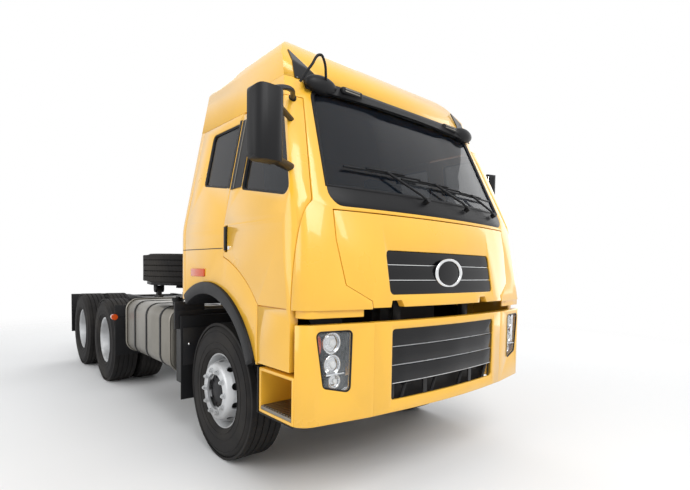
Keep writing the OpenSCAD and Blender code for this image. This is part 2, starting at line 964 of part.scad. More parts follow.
// Rear faces of the cross members: at the rear end, over the axles, ahead of them and behind the gearbox
cross_xs = [frame_back + cross_w / 2, last_x - cross_w / 2, tandem_x - cross_w / 2, mid_x - cross_w / 2,
    (mid_x + gear_back - cross_w) / 2, gear_back - cross_gap - cross_w];
module frame() {
    x0 = frame_back;
    x1 = frame_front;
    color(steel) difference() {
        union() {
            both_sides() along_x([[rail_in, frame_low], [frame_w / 2, frame_low], [frame_w / 2,
                frame_top], [rail_in, frame_top],
                [rail_in, frame_top - rail_t], [frame_w / 2 - rail_t, frame_top - rail_t],
                    [frame_w / 2 - rail_t, frame_low + rail_t],
                [rail_in, frame_low + rail_t]], x0, x1);
            for (x = cross_xs)
                block([x, -frame_w / 2 + rail_t, frame_top - cross_h], [x + cross_w,
                    frame_w / 2 - rail_t, frame_top - rail_t]);
            both_sides() for (k = [-1, 1]) {
                y = -pivot_y + k * (ear_space + ear_t) / 2;
                translate([pivot_x, y, pivot_z]) rod_y(ear_r, -ear_t / 2, ear_t / 2);
                block([pivot_x - ear_r, y - ear_t / 2, frame_top], [pivot_x + ear_r, y + ear_t / 2,
                    pivot_z]);
                block([pivot_x - 2 * ear_r, -pivot_y - ear_space / 2 - ear_t, frame_top],
                    [pivot_x + ear_r, -pivot_y + ear_space / 2 + ear_t, frame_top + ear_t]);
            }
            both_sides() block([cab_back_x + wall + rest_set, rail_in, frame_top],
                [cab_back_x + wall + rest_set + rail_flange, frame_w / 2, floor_z - gap]);
        }
        translate([pivot_x, 0, pivot_z]) rod_y(pivot_r + pin_gap, -frame_w, frame_w);
    }
}
module front_axle() {
    z = axle_z - beam_drop;
    hy = king_y - eye_r - 2 * beam_drop;
    color(steel) union() {
        for (k = [-1, 1]) block([fa - beam_w / 2, -hy, z + k * (beam_h - flange_t) / 2 - flange_t / 2],
            [fa + beam_w / 2, hy, z + k * (beam_h - flange_t) / 2 + flange_t / 2]);
        block([fa - web_t / 2, -hy, z - beam_h / 2], [fa + web_t / 2, hy, z + beam_h / 2]);
        both_sides() {
            along_x([[hy, z - beam_h / 2], [king_y - neck_in, axle_z - eye_h / 2], [king_y,
                axle_z - eye_h / 2],
                [king_y, axle_z + eye_h / 2], [king_y - neck_in - neck_rise, axle_z + eye_h / 2], [hy,
                    z + beam_h / 2]],
                fa - beam_w / 2, fa + beam_w / 2);
            translate([fa, king_y, axle_z - eye_h / 2]) cylinder(r = eye_r, h = eye_h);
            translate([fa, king_y, axle_z - king_h / 2]) cylinder(r = king_r, h = king_h);
        }
    }
}
module knuckle() {
    e = eye_h / 2 + fork_gap;
    yoke = king_y + eye_r + fork_gap;
    color(steel) difference() {
        union() {
            for (s = [-1, 1]) {
                z0 = s > 0 ? axle_z + e : axle_z - e - fork_h;
                translate([fa, king_y, z0]) cylinder(r = eye_r, h = fork_h);
                block([fa - eye_r, king_y, z0], [fa + eye_r, yoke + plate_t, z0 + fork_h]);
            }
            block([fa - eye_r, yoke, axle_z - e - fork_h], [fa + eye_r, yoke + plate_t,
                axle_z + e + fork_h]);
            translate([fa, 0, axle_z]) rod_y(spindle_r, yoke, front_track / 2 + hub_out);
            translate([fa, 0, axle_z]) rod_y(plate_r, yoke, yoke + plate_t);
            along_z([[fa, king_y - arm_w], [fa, king_y + arm_w / 2], [fa - arm_back,
                king_y + arm_w / 2],
                [fa - arm_back, king_y - arm_w / 2]], axle_z - e - fork_h,
                    axle_z - e - fork_h + arm_t);
            translate([fa - arm_back, king_y, axle_z - e - fork_h]) cylinder(r = ball_r,
                h = arm_t);
        }
        translate([fa, king_y, axle_z - king_h]) cylinder(r = king_r + pin_gap, h = 2 * king_h);
        translate([fa - arm_back, king_y, 0]) cylinder(r = tie_pin_r + pin_gap, h = axle_z);
    }
}
module knuckle_left() knuckle();
module knuckle_right() mirror([0, 1, 0]) knuckle();
module tie_rod() {
    z = axle_z - eye_h / 2 - fork_gap - fork_h;
    y = king_y;
    color(steel) union() {
        translate([fa - arm_back, 0, z - gap - tie_r]) rod_y(tie_r, -y, y);
        both_sides() {
            translate([fa - arm_back, y, z - gap - 2 * tie_r]) cylinder(r = ball_r, h = 2 * tie_r);
            translate([fa - arm_back, y, z - gap - tie_r]) cylinder(r = tie_pin_r, h = arm_t + gap + tie_r);
        }
    }
}
module leaf(len, z, t, rise) {
    f = len / 2;
    r = (f * f + rise * rise) / (2 * abs(rise));
    s = sign(rise);
    n = 8;
    along_y([for (i = [0:n]) let(x = -f + 2 * f * i / n) [x, z + s * (r - sqrt(r * r - x * x))],
        for (i = [n:-1:0]) let(x = -f + 2 * f * i / n) [x, z + t + s * (r - sqrt(r * r - x * x))]],
            -leaf_w / 2, leaf_w / 2);
}
module springs() {
    zf = axle_z - beam_drop + beam_h / 2 + seat_h / 2;
    zr = axle_z + tube_r + seat_h + rear_droop;
    color(steel) both_sides() {
        translate([fa, spring_y, 0]) {
            for (i = [0:front_leaves - 1])
                leaf(front_spring_len * (1 - leaf_cut_share * (front_leaves - 1 - i)), zf + i * leaf_t,
                    leaf_t, camber * pow(1 - leaf_cut_share * (front_leaves - 1 - i), 2));
            block([-seat_w / 2, -leaf_w / 2, zf - seat_h / 2], [seat_w / 2, leaf_w / 2,
                zf + front_leaves * leaf_t + clip_t]);
            for (s = [-1, 1]) translate([s * (front_spring_len / 2 - leaf_w / 2), 0, 0])
                block([-leaf_w / 2, -leaf_w / 2, zf + front_leaves * leaf_t + camber * hang_share],
                    [leaf_w / 2, leaf_w / 2, frame_low]);
        }
        translate([tandem_x, rear_spring_y, 0]) {
            for (i = [0:rear_leaves - 1])
                leaf(rear_spring_len * (1 - leaf_cut_share * i), zr + i * leaf_t, leaf_t,
                    -rear_droop * pow(1 - leaf_cut_share * i, 2));
            block([-seat_w, frame_w / 2 - rear_spring_y, zr - seat_h], [seat_w, leaf_w / 2,
                zr + rear_leaves * leaf_t + clip_t]);
            block([-seat_w, frame_w / 2 - rear_spring_y, zr - 2 * seat_h], [seat_w, -leaf_w / 2 + clip_t,
                frame_top - rail_t]);
        }
    }
}
module rear_axles() {
    y1 = rear_track / 2 - twin_spacing / 2 - tyre_w / 2 - plate_t;
    color(steel) for (x = [mid_x, last_x]) translate([x, 0, axle_z]) {
        rod_y(tube_r, -y1, y1);
        rod_y(diff_r, -diff_w / 2, diff_w / 2);
        rod_x(nose_r, 0, diff_r + nose_len);
        rod_x(boss_r, -diff_r - boss_len, 0);
        both_sides() {
            rod_y(plate_r, y1 - plate_t, y1);
            rod_y(spindle_r, 0, rear_track / 2 + hub_out);
            translate([0, rear_spring_y, 0]) block([-seat_w / 2, -leaf_w / 2, 0], [seat_w / 2,
                leaf_w / 2, tube_r + seat_h]);
        }
    }
}
module engine() {
    x0 = fa - engine_back;
    color(steel) union() {
        block([x0, -engine_w / 2, engine_low], [x0 + engine_len, engine_w / 2, engine_top]);
        translate([0, 0, gear_z]) rod_x(gear_r, x0 - gear_len, x0);
        both_sides() for (k = mount_shares)
            block([x0 + k * engine_len, 0, gear_z], [x0 + k * engine_len + cross_w, frame_w / 2 - rail_t,
                gear_z + mount_h]);
    }
}
// Two shafts with a joint at each end: gearbox to the first rear axle, and from there to the last one
module driveline() {
    z0 = gear_z - shaft_drop;
    ends = [[mid_x + diff_r + nose_len, axle_z, gear_back, z0], [last_x + diff_r + nose_len, axle_z,
        mid_x - diff_r - boss_len, axle_z]];
    color(steel) for (e = ends) union() {
        translate([0, 0, e[1]]) rod_x(yoke_r, e[0], e[0] + yoke_len);
        translate([0, 0, e[3]]) rod_x(yoke_r, e[2] - yoke_len, e[2]);
        rod_between([e[0] + yoke_len / 2, 0, e[1]], [e[2] - yoke_len / 2, 0, e[3]], shaft_r);
    }
}
module radiator() {
    color(steel) union() {
        block([radiator_x, -radiator_w / 2, radiator_low], [radiator_x + radiator_t, radiator_w / 2,
            radiator_top]);
        both_sides() block([radiator_x, 0, frame_top - 2 * rail_t], [radiator_x + radiator_t,
            frame_w / 2 - rail_t, frame_top - rail_t]);
    }
}
function tank_outline(d) = box_outline([-tank_out - d, tank_low - d], [-tank_in + d, tank_top + d],
    tank_r + d);
module fuel_tank() {
    color(alloy) union() {
        along_x(tank_outline(0), fa - tank_back, fa - tank_front);
        translate([fa - tank_front - filler_back, -tank_out + filler_in,
            tank_top - tank_r]) cylinder(r = cap_w / 2, h = tank_r + filler_h);
    }
}
module tank_straps() {
    len = tank_back - tank_front;
    color(black) for (k = strap_shares) {
        x = fa - tank_back + k * len;
        difference() {
            union() {
                along_x(tank_outline(strap_t), x, x + strap_w);
                block([x, -tank_in, frame_low + rail_t], [x + strap_w, -frame_w / 2, frame_top - rail_t]);
            }
            along_x(tank_outline(0), x - over, x + strap_w + over);
        }
    }
}
// Silencer and battery locker on the left, two air tanks between the rails
module silencer_and_air_tanks() {
    x0 = fa - tank_back;
    air_x = cross_xs[air_cross] + cross_w / 2;
    air_z = frame_top - cross_h - air_d / 2;
    color(steel) {
        translate([0, muffler_y, muffler_z]) rod_x(muffler_d / 2, fa - tank_front - muffler_len,
            fa - tank_front);
        block([fa - tank_front - muffler_len / 2, frame_w / 2, muffler_z],
            [fa - tank_front - muffler_len / 2 + cross_w, muffler_y, muffler_z + cross_w]);
        block([x0, locker_in, tank_low], [x0 + locker_len, tank_out, tank_top - tank_r]);
        block([x0 + cross_w, frame_w / 2, muffler_z], [x0 + locker_len - cross_w, locker_in,
            muffler_z + cross_w]);
        both_sides() {
            translate([0, air_y, air_z]) rod_x(air_d / 2, air_x - air_len / 2, air_x + air_len / 2);
            block([air_x - cross_w / 2, air_y - air_d / 4, air_z], [air_x + cross_w / 2,
                air_y + air_d / 4, frame_top - cross_h]);
        }
    }
}

// Bumper
function bumper_at(y, d) = bumper_x - d - (bow_r - sqrt(bow_r * bow_r - y * y));
module bumper_form(d, low, high, behind = 0) {
    h = cab_w / 2 - d;
    x0 = bumper_at(h, d);
    intersection() {
        along_z(rounded([[fa, -h, 0], [x0, -h, bumper_corner_r - d],
            for (i = [0:bow_steps]) let(y = bow_end * (2 * i / bow_steps - 1)) [bumper_at(y, d), y, 0],
            [x0, h, bumper_corner_r - d], [fa, h, 0]]), low, high);
        block([fa + bumper_back - behind, -cab_w, low - over], [front_x + over, cab_w, high + over]);
    }
}
module bumper_skin() {
    difference() {
        bumper_form(0, bumper_low, bumper_top);
        bumper_form(bumper_nose, bumper_low - over, bumper_top + over, over);
        bumper_form(bumper_t, bumper_low - over, bumper_top - bumper_t, 2 * over);
    }
}
function mouth(d) = box_outline([-mouth_w / 2 + d, mouth_low + d], [mouth_w / 2 - d, mouth_top - d],
    mouth_r);
function lamp_outline(d) =
    rounded([[-lamp_low_in_y - d, lamp_low_in + d, lamp_r], [-lamp_in_y - d, lamp_top - d, lamp_r],
        [-lamp_out_y + d, lamp_top - d, lamp_r], [-lamp_low_out_y + d, lamp_low_out + d, lamp_r]], 5);
module bumper_centre() {
    x = pivot_x + ear_r;
    color(paint) union() {
        difference() {
            intersection() {
                bumper_skin();
                block([fa, -split_y, 0], [front_x + over, split_y, bumper_top + over]);
            }
            along_x(mouth(0), fa, front_x + over);
        }
        intersection() {
            bumper_form(bumper_t / 2, bumper_low, bumper_top);
            block([x, -split_y, beam_low], [x + rail_t, split_y, beam_low + beam_w]);
        }
    }
}
module bumper_corners() {
    color(paint) both_sides() difference() {
        intersection() {
            bumper_skin();
            block([fa, -cab_w, 0], [front_x + over, -split_y, bumper_top + over]);
        }
        along_x(lamp_outline(0), fa + bumper_back - over, front_x + over);
    }
}
module headlamps() {
    color(silver) both_sides() intersection() {
        difference() {
            bumper_form(lamp_set, bumper_low, bumper_top);
            bumper_form(lamp_deep, 0, cab_top, over);
        }
        along_x(lamp_outline(0), fa + bumper_back + lamp_r, front_x + over);
    }
}
module lower_grille() {
    bar = (mouth_top - mouth_low - slot_h - (bar_count - 1) * bar_gap) / bar_count;
    color(black) union() {
        for (i = [0:bar_count - 1]) {
            z = mouth_low + slot_h + i * (bar + bar_gap);
            intersection() {
                difference() {
                    bumper_form(bar_set, z, z + bar);
                    bumper_form(bar_set + bar_t, 0, cab_top, over);
                }
                along_x(mouth(0), fa, front_x);
            }
        }
        for (k = post_shares)
            intersection() {
                difference() {
                    bumper_form(bar_set + bar_t / 4, mouth_low, mouth_top);
                    bumper_form(bar_set + 3 * bar_t / 4, 0, cab_top, over);
                }
                block([fa, k * mouth_w / 2 - post_w / 2, mouth_low], [front_x,
                    k * mouth_w / 2 + post_w / 2, mouth_top]);
                along_x(mouth(0), fa, front_x);
            }
    }
}
module steps() {
    h = cab_w / 2;
    color(paint) both_sides() {
        difference() {
            block([fa + step_back, -h, bumper_low], [fa + bumper_back, -step_in, step_top]);
            block([fa + step_back + step_t, -h - over, bumper_low + step_t], [fa + bumper_back - step_t,
                -step_in - step_t, step_top - step_t]);
        }
        block([fa + step_mount, -step_in, gear_z], [fa + step_mount + cross_w, -frame_w / 2,
            gear_z + mount_h]);
    }
}
module mudguards() {
    h = cab_w / 2;
    color(black) both_sides() {
        union() {
            block([fa - guard_front - guard_deep, -h + guard_in, guard_low], [fa - guard_front,
                -guard_y_in, guard_top]);
            block([fa - guard_front - guard_t, -h + guard_in, flap_low], [fa - guard_front, -guard_y_in,
                guard_low]);
            block([fa - guard_front - guard_deep, -guard_y_in, gear_z], [fa - guard_front, -frame_w / 2,
                gear_z + mount_h]);
        }
        for (p = [[mid_x + rear_guard_off, rear_flap_low, rear_guard_top], [last_x - rear_guard_off,
            rear_flap_low, rear_guard_top]]) {
            block([p[0] - guard_t / 2, -rear_guard_y_out, p[1]], [p[0] + guard_t / 2, -rear_guard_y_in,
                p[2]]);
            block([p[0] - guard_t, -rear_guard_y_in, gear_z], [p[0] + guard_t, -frame_w / 2,
                gear_z + mount_h]);
        }
    }
}
module tail_lamps() {
    color("#8c1b1b") union() {
        block([rear_x, -lamp_bar_y, lamp_bar_z], [rear_x + lamp_bar_t, lamp_bar_y,
            lamp_bar_z + lamp_bar_h]);
        both_sides() block([rear_x, lamp_bar_y - tail_w, lamp_bar_z - tail_h], [rear_x + tail_t,
            lamp_bar_y, lamp_bar_z]);
    }
}
module fifth_wheel_base() {
    px = fifth_x - trunnion_back;
    color(steel) {
        difference() {
            union() {
                block([px - base_len / 2, -base_w / 2, frame_top], [px + base_len / 2, base_w / 2,
                    frame_top + base_t]);
                both_sides() {
                    block([px - pedestal_len / 2, trunnion_y - pedestal_w / 2, frame_top],
                        [px + pedestal_len / 2, trunnion_y + pedestal_w / 2,
                        frame_top + base_t + pedestal_up]);
                    block([px - trunnion_eye_r, trunnion_y - pedestal_w / 2, frame_top],
                        [px + trunnion_eye_r, trunnion_y + pedestal_w / 2, trunnion_z]);
                    translate([px, trunnion_y, trunnion_z]) rod_y(trunnion_eye_r, -pedestal_w / 2,
                        pedestal_w / 2);
                }
            }
            translate([px, 0, trunnion_z]) rod_y(trunnion_r + pin_gap, -fifth_w, fifth_w);
        }
        block([deck_x, -frame_w / 2, frame_top], [deck_x + deck_len, frame_w / 2, frame_top + deck_t]);
    }
}
module fifth_wheel() {
    px = fifth_x - trunnion_back;
    h = fifth_w / 2;
    lug = pedestal_w / 2 + lug_gap;
    color(steel) difference() {
        union() {
            along_z(rounded([[fifth_x + fifth_ahead, -h * nose_share, fifth_r], [fifth_x + fifth_ahead,
                h * nose_share, fifth_r],
                [fifth_x, h, fifth_r], [fifth_x - fifth_behind, h * tail_share, fifth_r / 2],
                    [fifth_x - fifth_behind, throat_w / 2, 0],
                [fifth_x - throat_in, jaw_r, 0], [fifth_x - throat_in, -jaw_r, 0],
                    [fifth_x - fifth_behind, -throat_w / 2, 0],
                [fifth_x - fifth_behind, -h * tail_share, fifth_r / 2], [fifth_x, -h, fifth_r]]),
                    fifth_top - fifth_t, fifth_top);
            translate([fifth_x, 0, fifth_top - fifth_t - jaw_t]) cylinder(r = jaw_r + jaw_wall,
                h = jaw_t + fifth_t / 2);
            both_sides() {
                for (s = [-1, 1]) translate([px, trunnion_y + s * (lug + lug_t / 2), 0]) {
                    block([-2 * trunnion_r, -lug_t / 2, trunnion_z], [2 * trunnion_r, lug_t / 2,
                        fifth_top - fifth_t]);
                    translate([0, 0, trunnion_z]) rod_y(2 * trunnion_r, -lug_t / 2, lug_t / 2);
                }
                translate([px, trunnion_y, trunnion_z]) rod_y(trunnion_r, -lug - lug_t, lug + lug_t);
            }
        }
        translate([fifth_x, 0, 0]) cylinder(r = jaw_r, h = cab_top);
    }
}

// Wheels: the axis along Y, the outer face toward plus Y
module ring_y(pts) rotate([-90, 0, 0]) rotate_extrude() polygon(pts);
module tyre() {
    r = tyre_d / 2;
    w = tyre_w / 2;
    b = bead_r;
    s = r - b;
    f = rim_d / 2 + pin_gap;
    e = rim_w / 2 - flange_w;
    color(rubber) ring_y([[b, -e], [f, -e], [b + s * bulge_share, -w], [r - s * wall_share, -w],
        [r - tread_crown, -w * shoulder_share],
        [r, -w * tread_share / 2], [r, w * tread_share / 2], [r - tread_crown, w * shoulder_share],
            [r - s * wall_share, w],
        [b + s * bulge_share, w], [f, e], [b, e]]);
}
// Rim channel with its two flanges and drop centre
module rim() {
    f = rim_d / 2;
    w = rim_w / 2;
    t = rim_wall;
    ring_y([[f, -w], [f, -w + flange_w - pin_gap], [bead_r, -w + flange_w - pin_gap], [bead_r,
        -w + flange_w], [bead_r - well, 0],
        [bead_r, w - flange_w], [bead_r, w - flange_w + pin_gap], [f, w - flange_w + pin_gap], [f, w],
            [bead_r - t, w],
        [bead_r - well - t, 0], [bead_r - t, -w]]);
}
module disc(face) {
    r = bead_r - well + rim_wall / 2;
    m = hub_r * disc_share;
    t = face > 0 ? disc_t : -disc_t;
    ring_y([[m / 2, face], [r * dish_share, face], [r, face * foot_share], [r, face * foot_share - t],
        [r * dish_share - disc_t, face - t], [m / 2, face - t]]);
}
module nuts_and_holes(face) {
    difference() {
        union() {
            children();
            for (i = [0:nut_count - 1]) rotate([0, i * 360 / nut_count, 0]) translate([nut_pcd / 2, 0, 0])
                rod_y(nut_r, face - disc_t / 2, face + nut_h);
        }
        for (i = [0:nut_count - 1]) rotate([0, (i + 0.5) * 360 / nut_count, 0])
            translate([bead_r * hole_ring_share, -tyre_w, 0]) rod_y(hole_r, 0, 2 * tyre_w);
    }
}
module front_wheel() {
    color(silver) difference() {
        union() {
            nuts_and_holes(front_face_out) {
                rim();
                disc(front_face_out);
            }
            rod_y(hub_r * disc_share, hub_back, front_face_out);
            rod_y(cap_r, 0, front_face_out + cap_h);
            ring_y([[drum_r - rim_wall, drum_back], [drum_r, drum_back], [drum_r, drum_front],
                [spindle_r, drum_front], [spindle_r, drum_front - rim_wall],
                [drum_r - rim_wall, drum_front - rim_wall]]);
        }
        rod_y(hub_bore, -tyre_w, hub_out + gap);
    }
}
module twin_wheels() {
    o = twin_spacing / 2;
    r = bead_r - rim_wall / 2;
    color(silver) difference() {
        union() {
            translate([0, o, 0]) rim();
            translate([0, -o, 0]) rim();
            nuts_and_holes(disc_t) {
                ring_y([[hub_r / 2, -disc_t], [r * dish_share, -disc_t], [r, -o * twin_foot_share], [r,
                    -o * twin_foot_share + disc_t],
                    [r * dish_share, 0], [r, o * twin_foot_share - disc_t], [r, o * twin_foot_share],
                        [r * dish_share, disc_t], [hub_r / 2, disc_t]]);
            }
            rod_y(twin_hub_r * disc_share, -o, hub_front);
            rod_y(cap_r, 0, hub_front + cap_h);
            ring_y([[drum_r - rim_wall, twin_drum_back], [drum_r, twin_drum_back], [drum_r, -disc_t],
                [spindle_r, -disc_t], [spindle_r, -disc_t - rim_wall],
                [drum_r - rim_wall, -disc_t - rim_wall]]);
        }
        rod_y(hub_bore, -2 * tyre_w, hub_out + gap);
    }
}
module at_front(side) on_side(side) translate([fa, front_track / 2, axle_z]) children();
module at_rear(x, side) on_side(side) translate([x, rear_track / 2, axle_z]) children();
module twin_tyres() {
    translate([0, twin_spacing / 2, 0]) tyre();
    translate([0, -twin_spacing / 2, 0]) tyre();
}
module tyre_front_right() at_front(-1) tyre();
module tyre_front_left() at_front(1) tyre();
module tyres_mid_right() at_rear(mid_x, -1) twin_tyres();
module tyres_mid_left() at_rear(mid_x, 1) twin_tyres();
module tyres_rear_right() at_rear(last_x, -1) twin_tyres();
module tyres_rear_left() at_rear(last_x, 1) twin_tyres();
module wheel_front_right() at_front(-1) front_wheel();
module wheel_front_left() at_front(1) front_wheel();
module wheels_mid_right() at_rear(mid_x, -1) twin_wheels();
module wheels_mid_left() at_rear(mid_x, 1) twin_wheels();
module wheels_rear_right() at_rear(last_x, -1) twin_wheels();
module wheels_rear_left() at_rear(last_x, 1) twin_wheels();
// Spare wheel lying flat over the tank, its rim bolted to a carrier that stands on the right rail
module at_spare() translate([spare_x, spare_y, spare_z]) rotate([90, 0, 0]) children();
module spare_tyre() at_spare() tyre();
module spare_carrier() {
    z = spare_z - tyre_w / 2 - carrier_t;
    y = -frame_w / 2 + rail_flange / 2;
    color(steel) union() {
        at_spare() nuts_and_holes(-front_face_out + disc_t) {
            rim();
            disc(-front_face_out);
            rod_y(hub_r, -front_face_out, -front_face_out + disc_t);
        }
        block([spare_x - post_r, spare_y - hub_r, z], [spare_x + post_r, y + post_r, z + carrier_t]);
        translate([spare_x, spare_y, z]) cylinder(r = hub_r / 2,
            h = tyre_w / 2 + carrier_t - front_face_out + disc_t);
        translate([spare_x, y, frame_top]) cylinder(r = post_r, h = z - frame_top + carrier_t);
    }
}
module air_intake() {
    y0 = intake_y - intake_w / 2;
    color(black) union() {
        along_z(box_outline([intake_x - intake_d / 2, y0], [intake_x + intake_d / 2, y0 + intake_w],
            intake_r), intake_low, intake_top);
        block([intake_x - intake_d / 2 + intake_r / 2, intake_y, intake_low],
            [intake_x + intake_d / 2 - intake_r / 2, -rail_in, intake_low + intake_d]);
        block([intake_x - intake_r, -frame_w / 2, frame_top], [intake_x + intake_r, -rail_in, intake_low]);
    }
}

frame();
front_axle();
rear_axles();
springs();
engine();
driveline();
radiator();
fuel_tank();
tank_straps();
silencer_and_air_tanks();
bumper_centre();
bumper_corners();
headlamps();
lower_grille();
steps();
mudguards();
tail_lamps();
spare_tyre();
spare_carrier();
air_intake();
fifth_wheel_base();
cab_front();
cab_roof();
cab_sides();
cab_back();
cab_floor();
windscreen();
side_glass();
cowl_panel();
sun_visor();
wheel_arches();
wipers();
mirror_right();
mirror_left();
dashboard();
seats();
front_flap();
upper_grille();
door_right();
door_left();
door_glass_right();
door_glass_left();
knuckle_right();
knuckle_left();
tie_rod();
tyre_front_right();
tyre_front_left();
tyres_mid_right();
tyres_mid_left();
tyres_rear_right();
tyres_rear_left();
wheel_front_right();
wheel_front_left();
wheels_mid_right();
wheels_mid_left();
wheels_rear_right();
wheels_rear_left();
fifth_wheel();
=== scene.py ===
# %% [markdown]
# # A yellow tractor unit
# The CAD frame gives every panel its place and size. This scene adds the paint, rubber, glass and
# the small pieces that CAD leaves out: treads, seals, lamps, handles, pipes and the padded seats.

# %% Load the frame
import bpy
import json
import math
from mathutils import Matrix, Vector


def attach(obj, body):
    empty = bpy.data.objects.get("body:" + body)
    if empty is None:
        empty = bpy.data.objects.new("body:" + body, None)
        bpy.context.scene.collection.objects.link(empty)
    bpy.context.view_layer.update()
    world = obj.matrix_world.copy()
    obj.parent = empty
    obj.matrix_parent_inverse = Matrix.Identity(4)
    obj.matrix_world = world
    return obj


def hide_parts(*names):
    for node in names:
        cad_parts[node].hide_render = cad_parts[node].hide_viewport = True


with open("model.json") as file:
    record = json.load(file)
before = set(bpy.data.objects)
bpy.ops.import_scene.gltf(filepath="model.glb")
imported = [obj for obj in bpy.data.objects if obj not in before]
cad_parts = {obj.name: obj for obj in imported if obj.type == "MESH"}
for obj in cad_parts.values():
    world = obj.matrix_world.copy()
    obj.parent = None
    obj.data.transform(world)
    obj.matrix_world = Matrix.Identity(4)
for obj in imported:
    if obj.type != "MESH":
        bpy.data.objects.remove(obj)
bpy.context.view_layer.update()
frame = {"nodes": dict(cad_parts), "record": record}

nodes = frame["nodes"]

FA, MID, LAST = 2.0, -1.3, -2.65          # the three axles along X
AXLE_Z, TYRE_R = 0.54, 0.54
FRONT_Y, REAR_Y, TWIN = 1.01, 0.915, 0.1675
NOSE_X, BELT_Z, BUMPER_X, LAMP_X = 3.275, 1.945, 3.4, 3.395
NOSE_LEAN, SCREEN_LEAN = math.radians(10.5), math.radians(25.4)
BOW_R = 5.4                               # the cab's front is bowed in plan
SIDE_Y, SIDE_Z, SIDE_SLOPE = 1.24, 1.82, 0.23 / 1.18

# %% [markdown]
# ## Small helpers
# Each piece starts as a Blender primitive with nothing else selected, and ends with its place
# applied to its mesh. A piece then rides on a CAD body and names the finish it takes.

# %% Helpers
def clear():
    bpy.ops.object.select_all(action="DESELECT")

def pick(o):
    clear()
    o.select_set(True)
    bpy.context.view_layer.objects.active = o

def apply_place(o):
    pick(o)
    bpy.ops.object.transform_apply(location=True, rotation=True, scale=True)
    return o

def apply_mods(o):
    pick(o)
    for m in list(o.modifiers):
        bpy.ops.object.modifier_apply(modifier=m.name)
    return o

def box(name, low, high, bevel=0.0, segments=2):
    clear()
    low, high = Vector(low), Vector(high)
    bpy.ops.mesh.primitive_cube_add(size=1, location=(low + high) / 2)
    o = bpy.context.object
    o.name = name
    o.scale = high - low
    apply_place(o)
    if bevel:
        m = o.modifiers.new("bevel", "BEVEL")
        m.width, m.segments, m.limit_method = bevel, segments, "NONE"
        apply_mods(o)
    return o

def tube(name, a, b, r, verts=24):
    clear()
    a, b = Vector(a), Vector(b)
    d = b - a
    bpy.ops.mesh.primitive_cylinder_add(vertices=verts, radius=r, depth=d.length, location=(a + b) / 2)
    o = bpy.context.object
    o.name = name
    o.rotation_euler = d.to_track_quat("Z", "Y").to_euler()
    return apply_place(o)

def ball(name, c, r, scale=(1, 1, 1)):
    clear()
    bpy.ops.mesh.primitive_uv_sphere_add(segments=32, ring_count=16, radius=r, location=c)
    o = bpy.context.object
    o.name = name
    o.scale = scale
    return apply_place(o)

def ring(name, c, r, r2, axis="Y", verts=72):
    clear()
    bpy.ops.mesh.primitive_torus_add(location=c, major_radius=r, minor_radius=r2, major_segments=verts,
                                     minor_segments=12)
    o = bpy.context.object
    o.name = name
    o.rotation_euler = {"X": (0, math.pi / 2, 0), "Y": (math.pi / 2, 0, 0), "Z": (0, 0, 0)}[axis]
    return apply_place(o)

def pipe(name, points, r, smooth=True):
    clear()
    c = bpy.data.curves.new(name, "CURVE")
    c.dimensions, c.bevel_depth, c.bevel_resolution, c.use_fill_caps = "3D", r, 4, True
    s = c.splines.new("BEZIER" if smooth else "POLY")
    if smooth:
        s.bezier_points.add(len(points) - 1)
        for p, q in zip(s.bezier_points, points):
            p.co = q
            p.handle_left_type = p.handle_right_type = "AUTO"
    else:
        s.points.add(len(points) - 1)
        for p, q in zip(s.points, points):
            p.co = (*q, 1)
    o = bpy.data.objects.new(name, c)
    bpy.context.collection.objects.link(o)
    pick(o)
    bpy.ops.object.convert(target="MESH")
    return bpy.context.object

def join(name, parts):
    clear()
    for p in parts:
        p.select_set(True)
    bpy.context.view_layer.objects.active = parts[0]
    if len(parts) > 1:
        bpy.ops.object.join()
    o = bpy.context.object
    o.name = name
    return o

def copy_of(o, name, matrix=Matrix.Identity(4)):
    c = o.copy()
    c.data = o.data.copy()
    c.name = name
    bpy.context.collection.objects.link(c)
    c.data.transform(matrix)
    if matrix.determinant() < 0:
        c.data.flip_normals()
    return c

MIRROR = Matrix.Scale(-1, 4, (0, 1, 0))

def finish_piece(o, body, mat, smooth=True, angle=35):
    o.data.materials.clear()
    o.data.materials.append(mat)
    if smooth:
        pick(o)
        bpy.ops.object.shade_smooth_by_angle(angle=math.radians(angle))
    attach(o, body)
    return o

# %% [markdown]
# ## Materials
# One procedural recipe: a noise on Object coordinates breaks up the colour and the roughness a
# little, and a second, finer noise gives a faint bump.

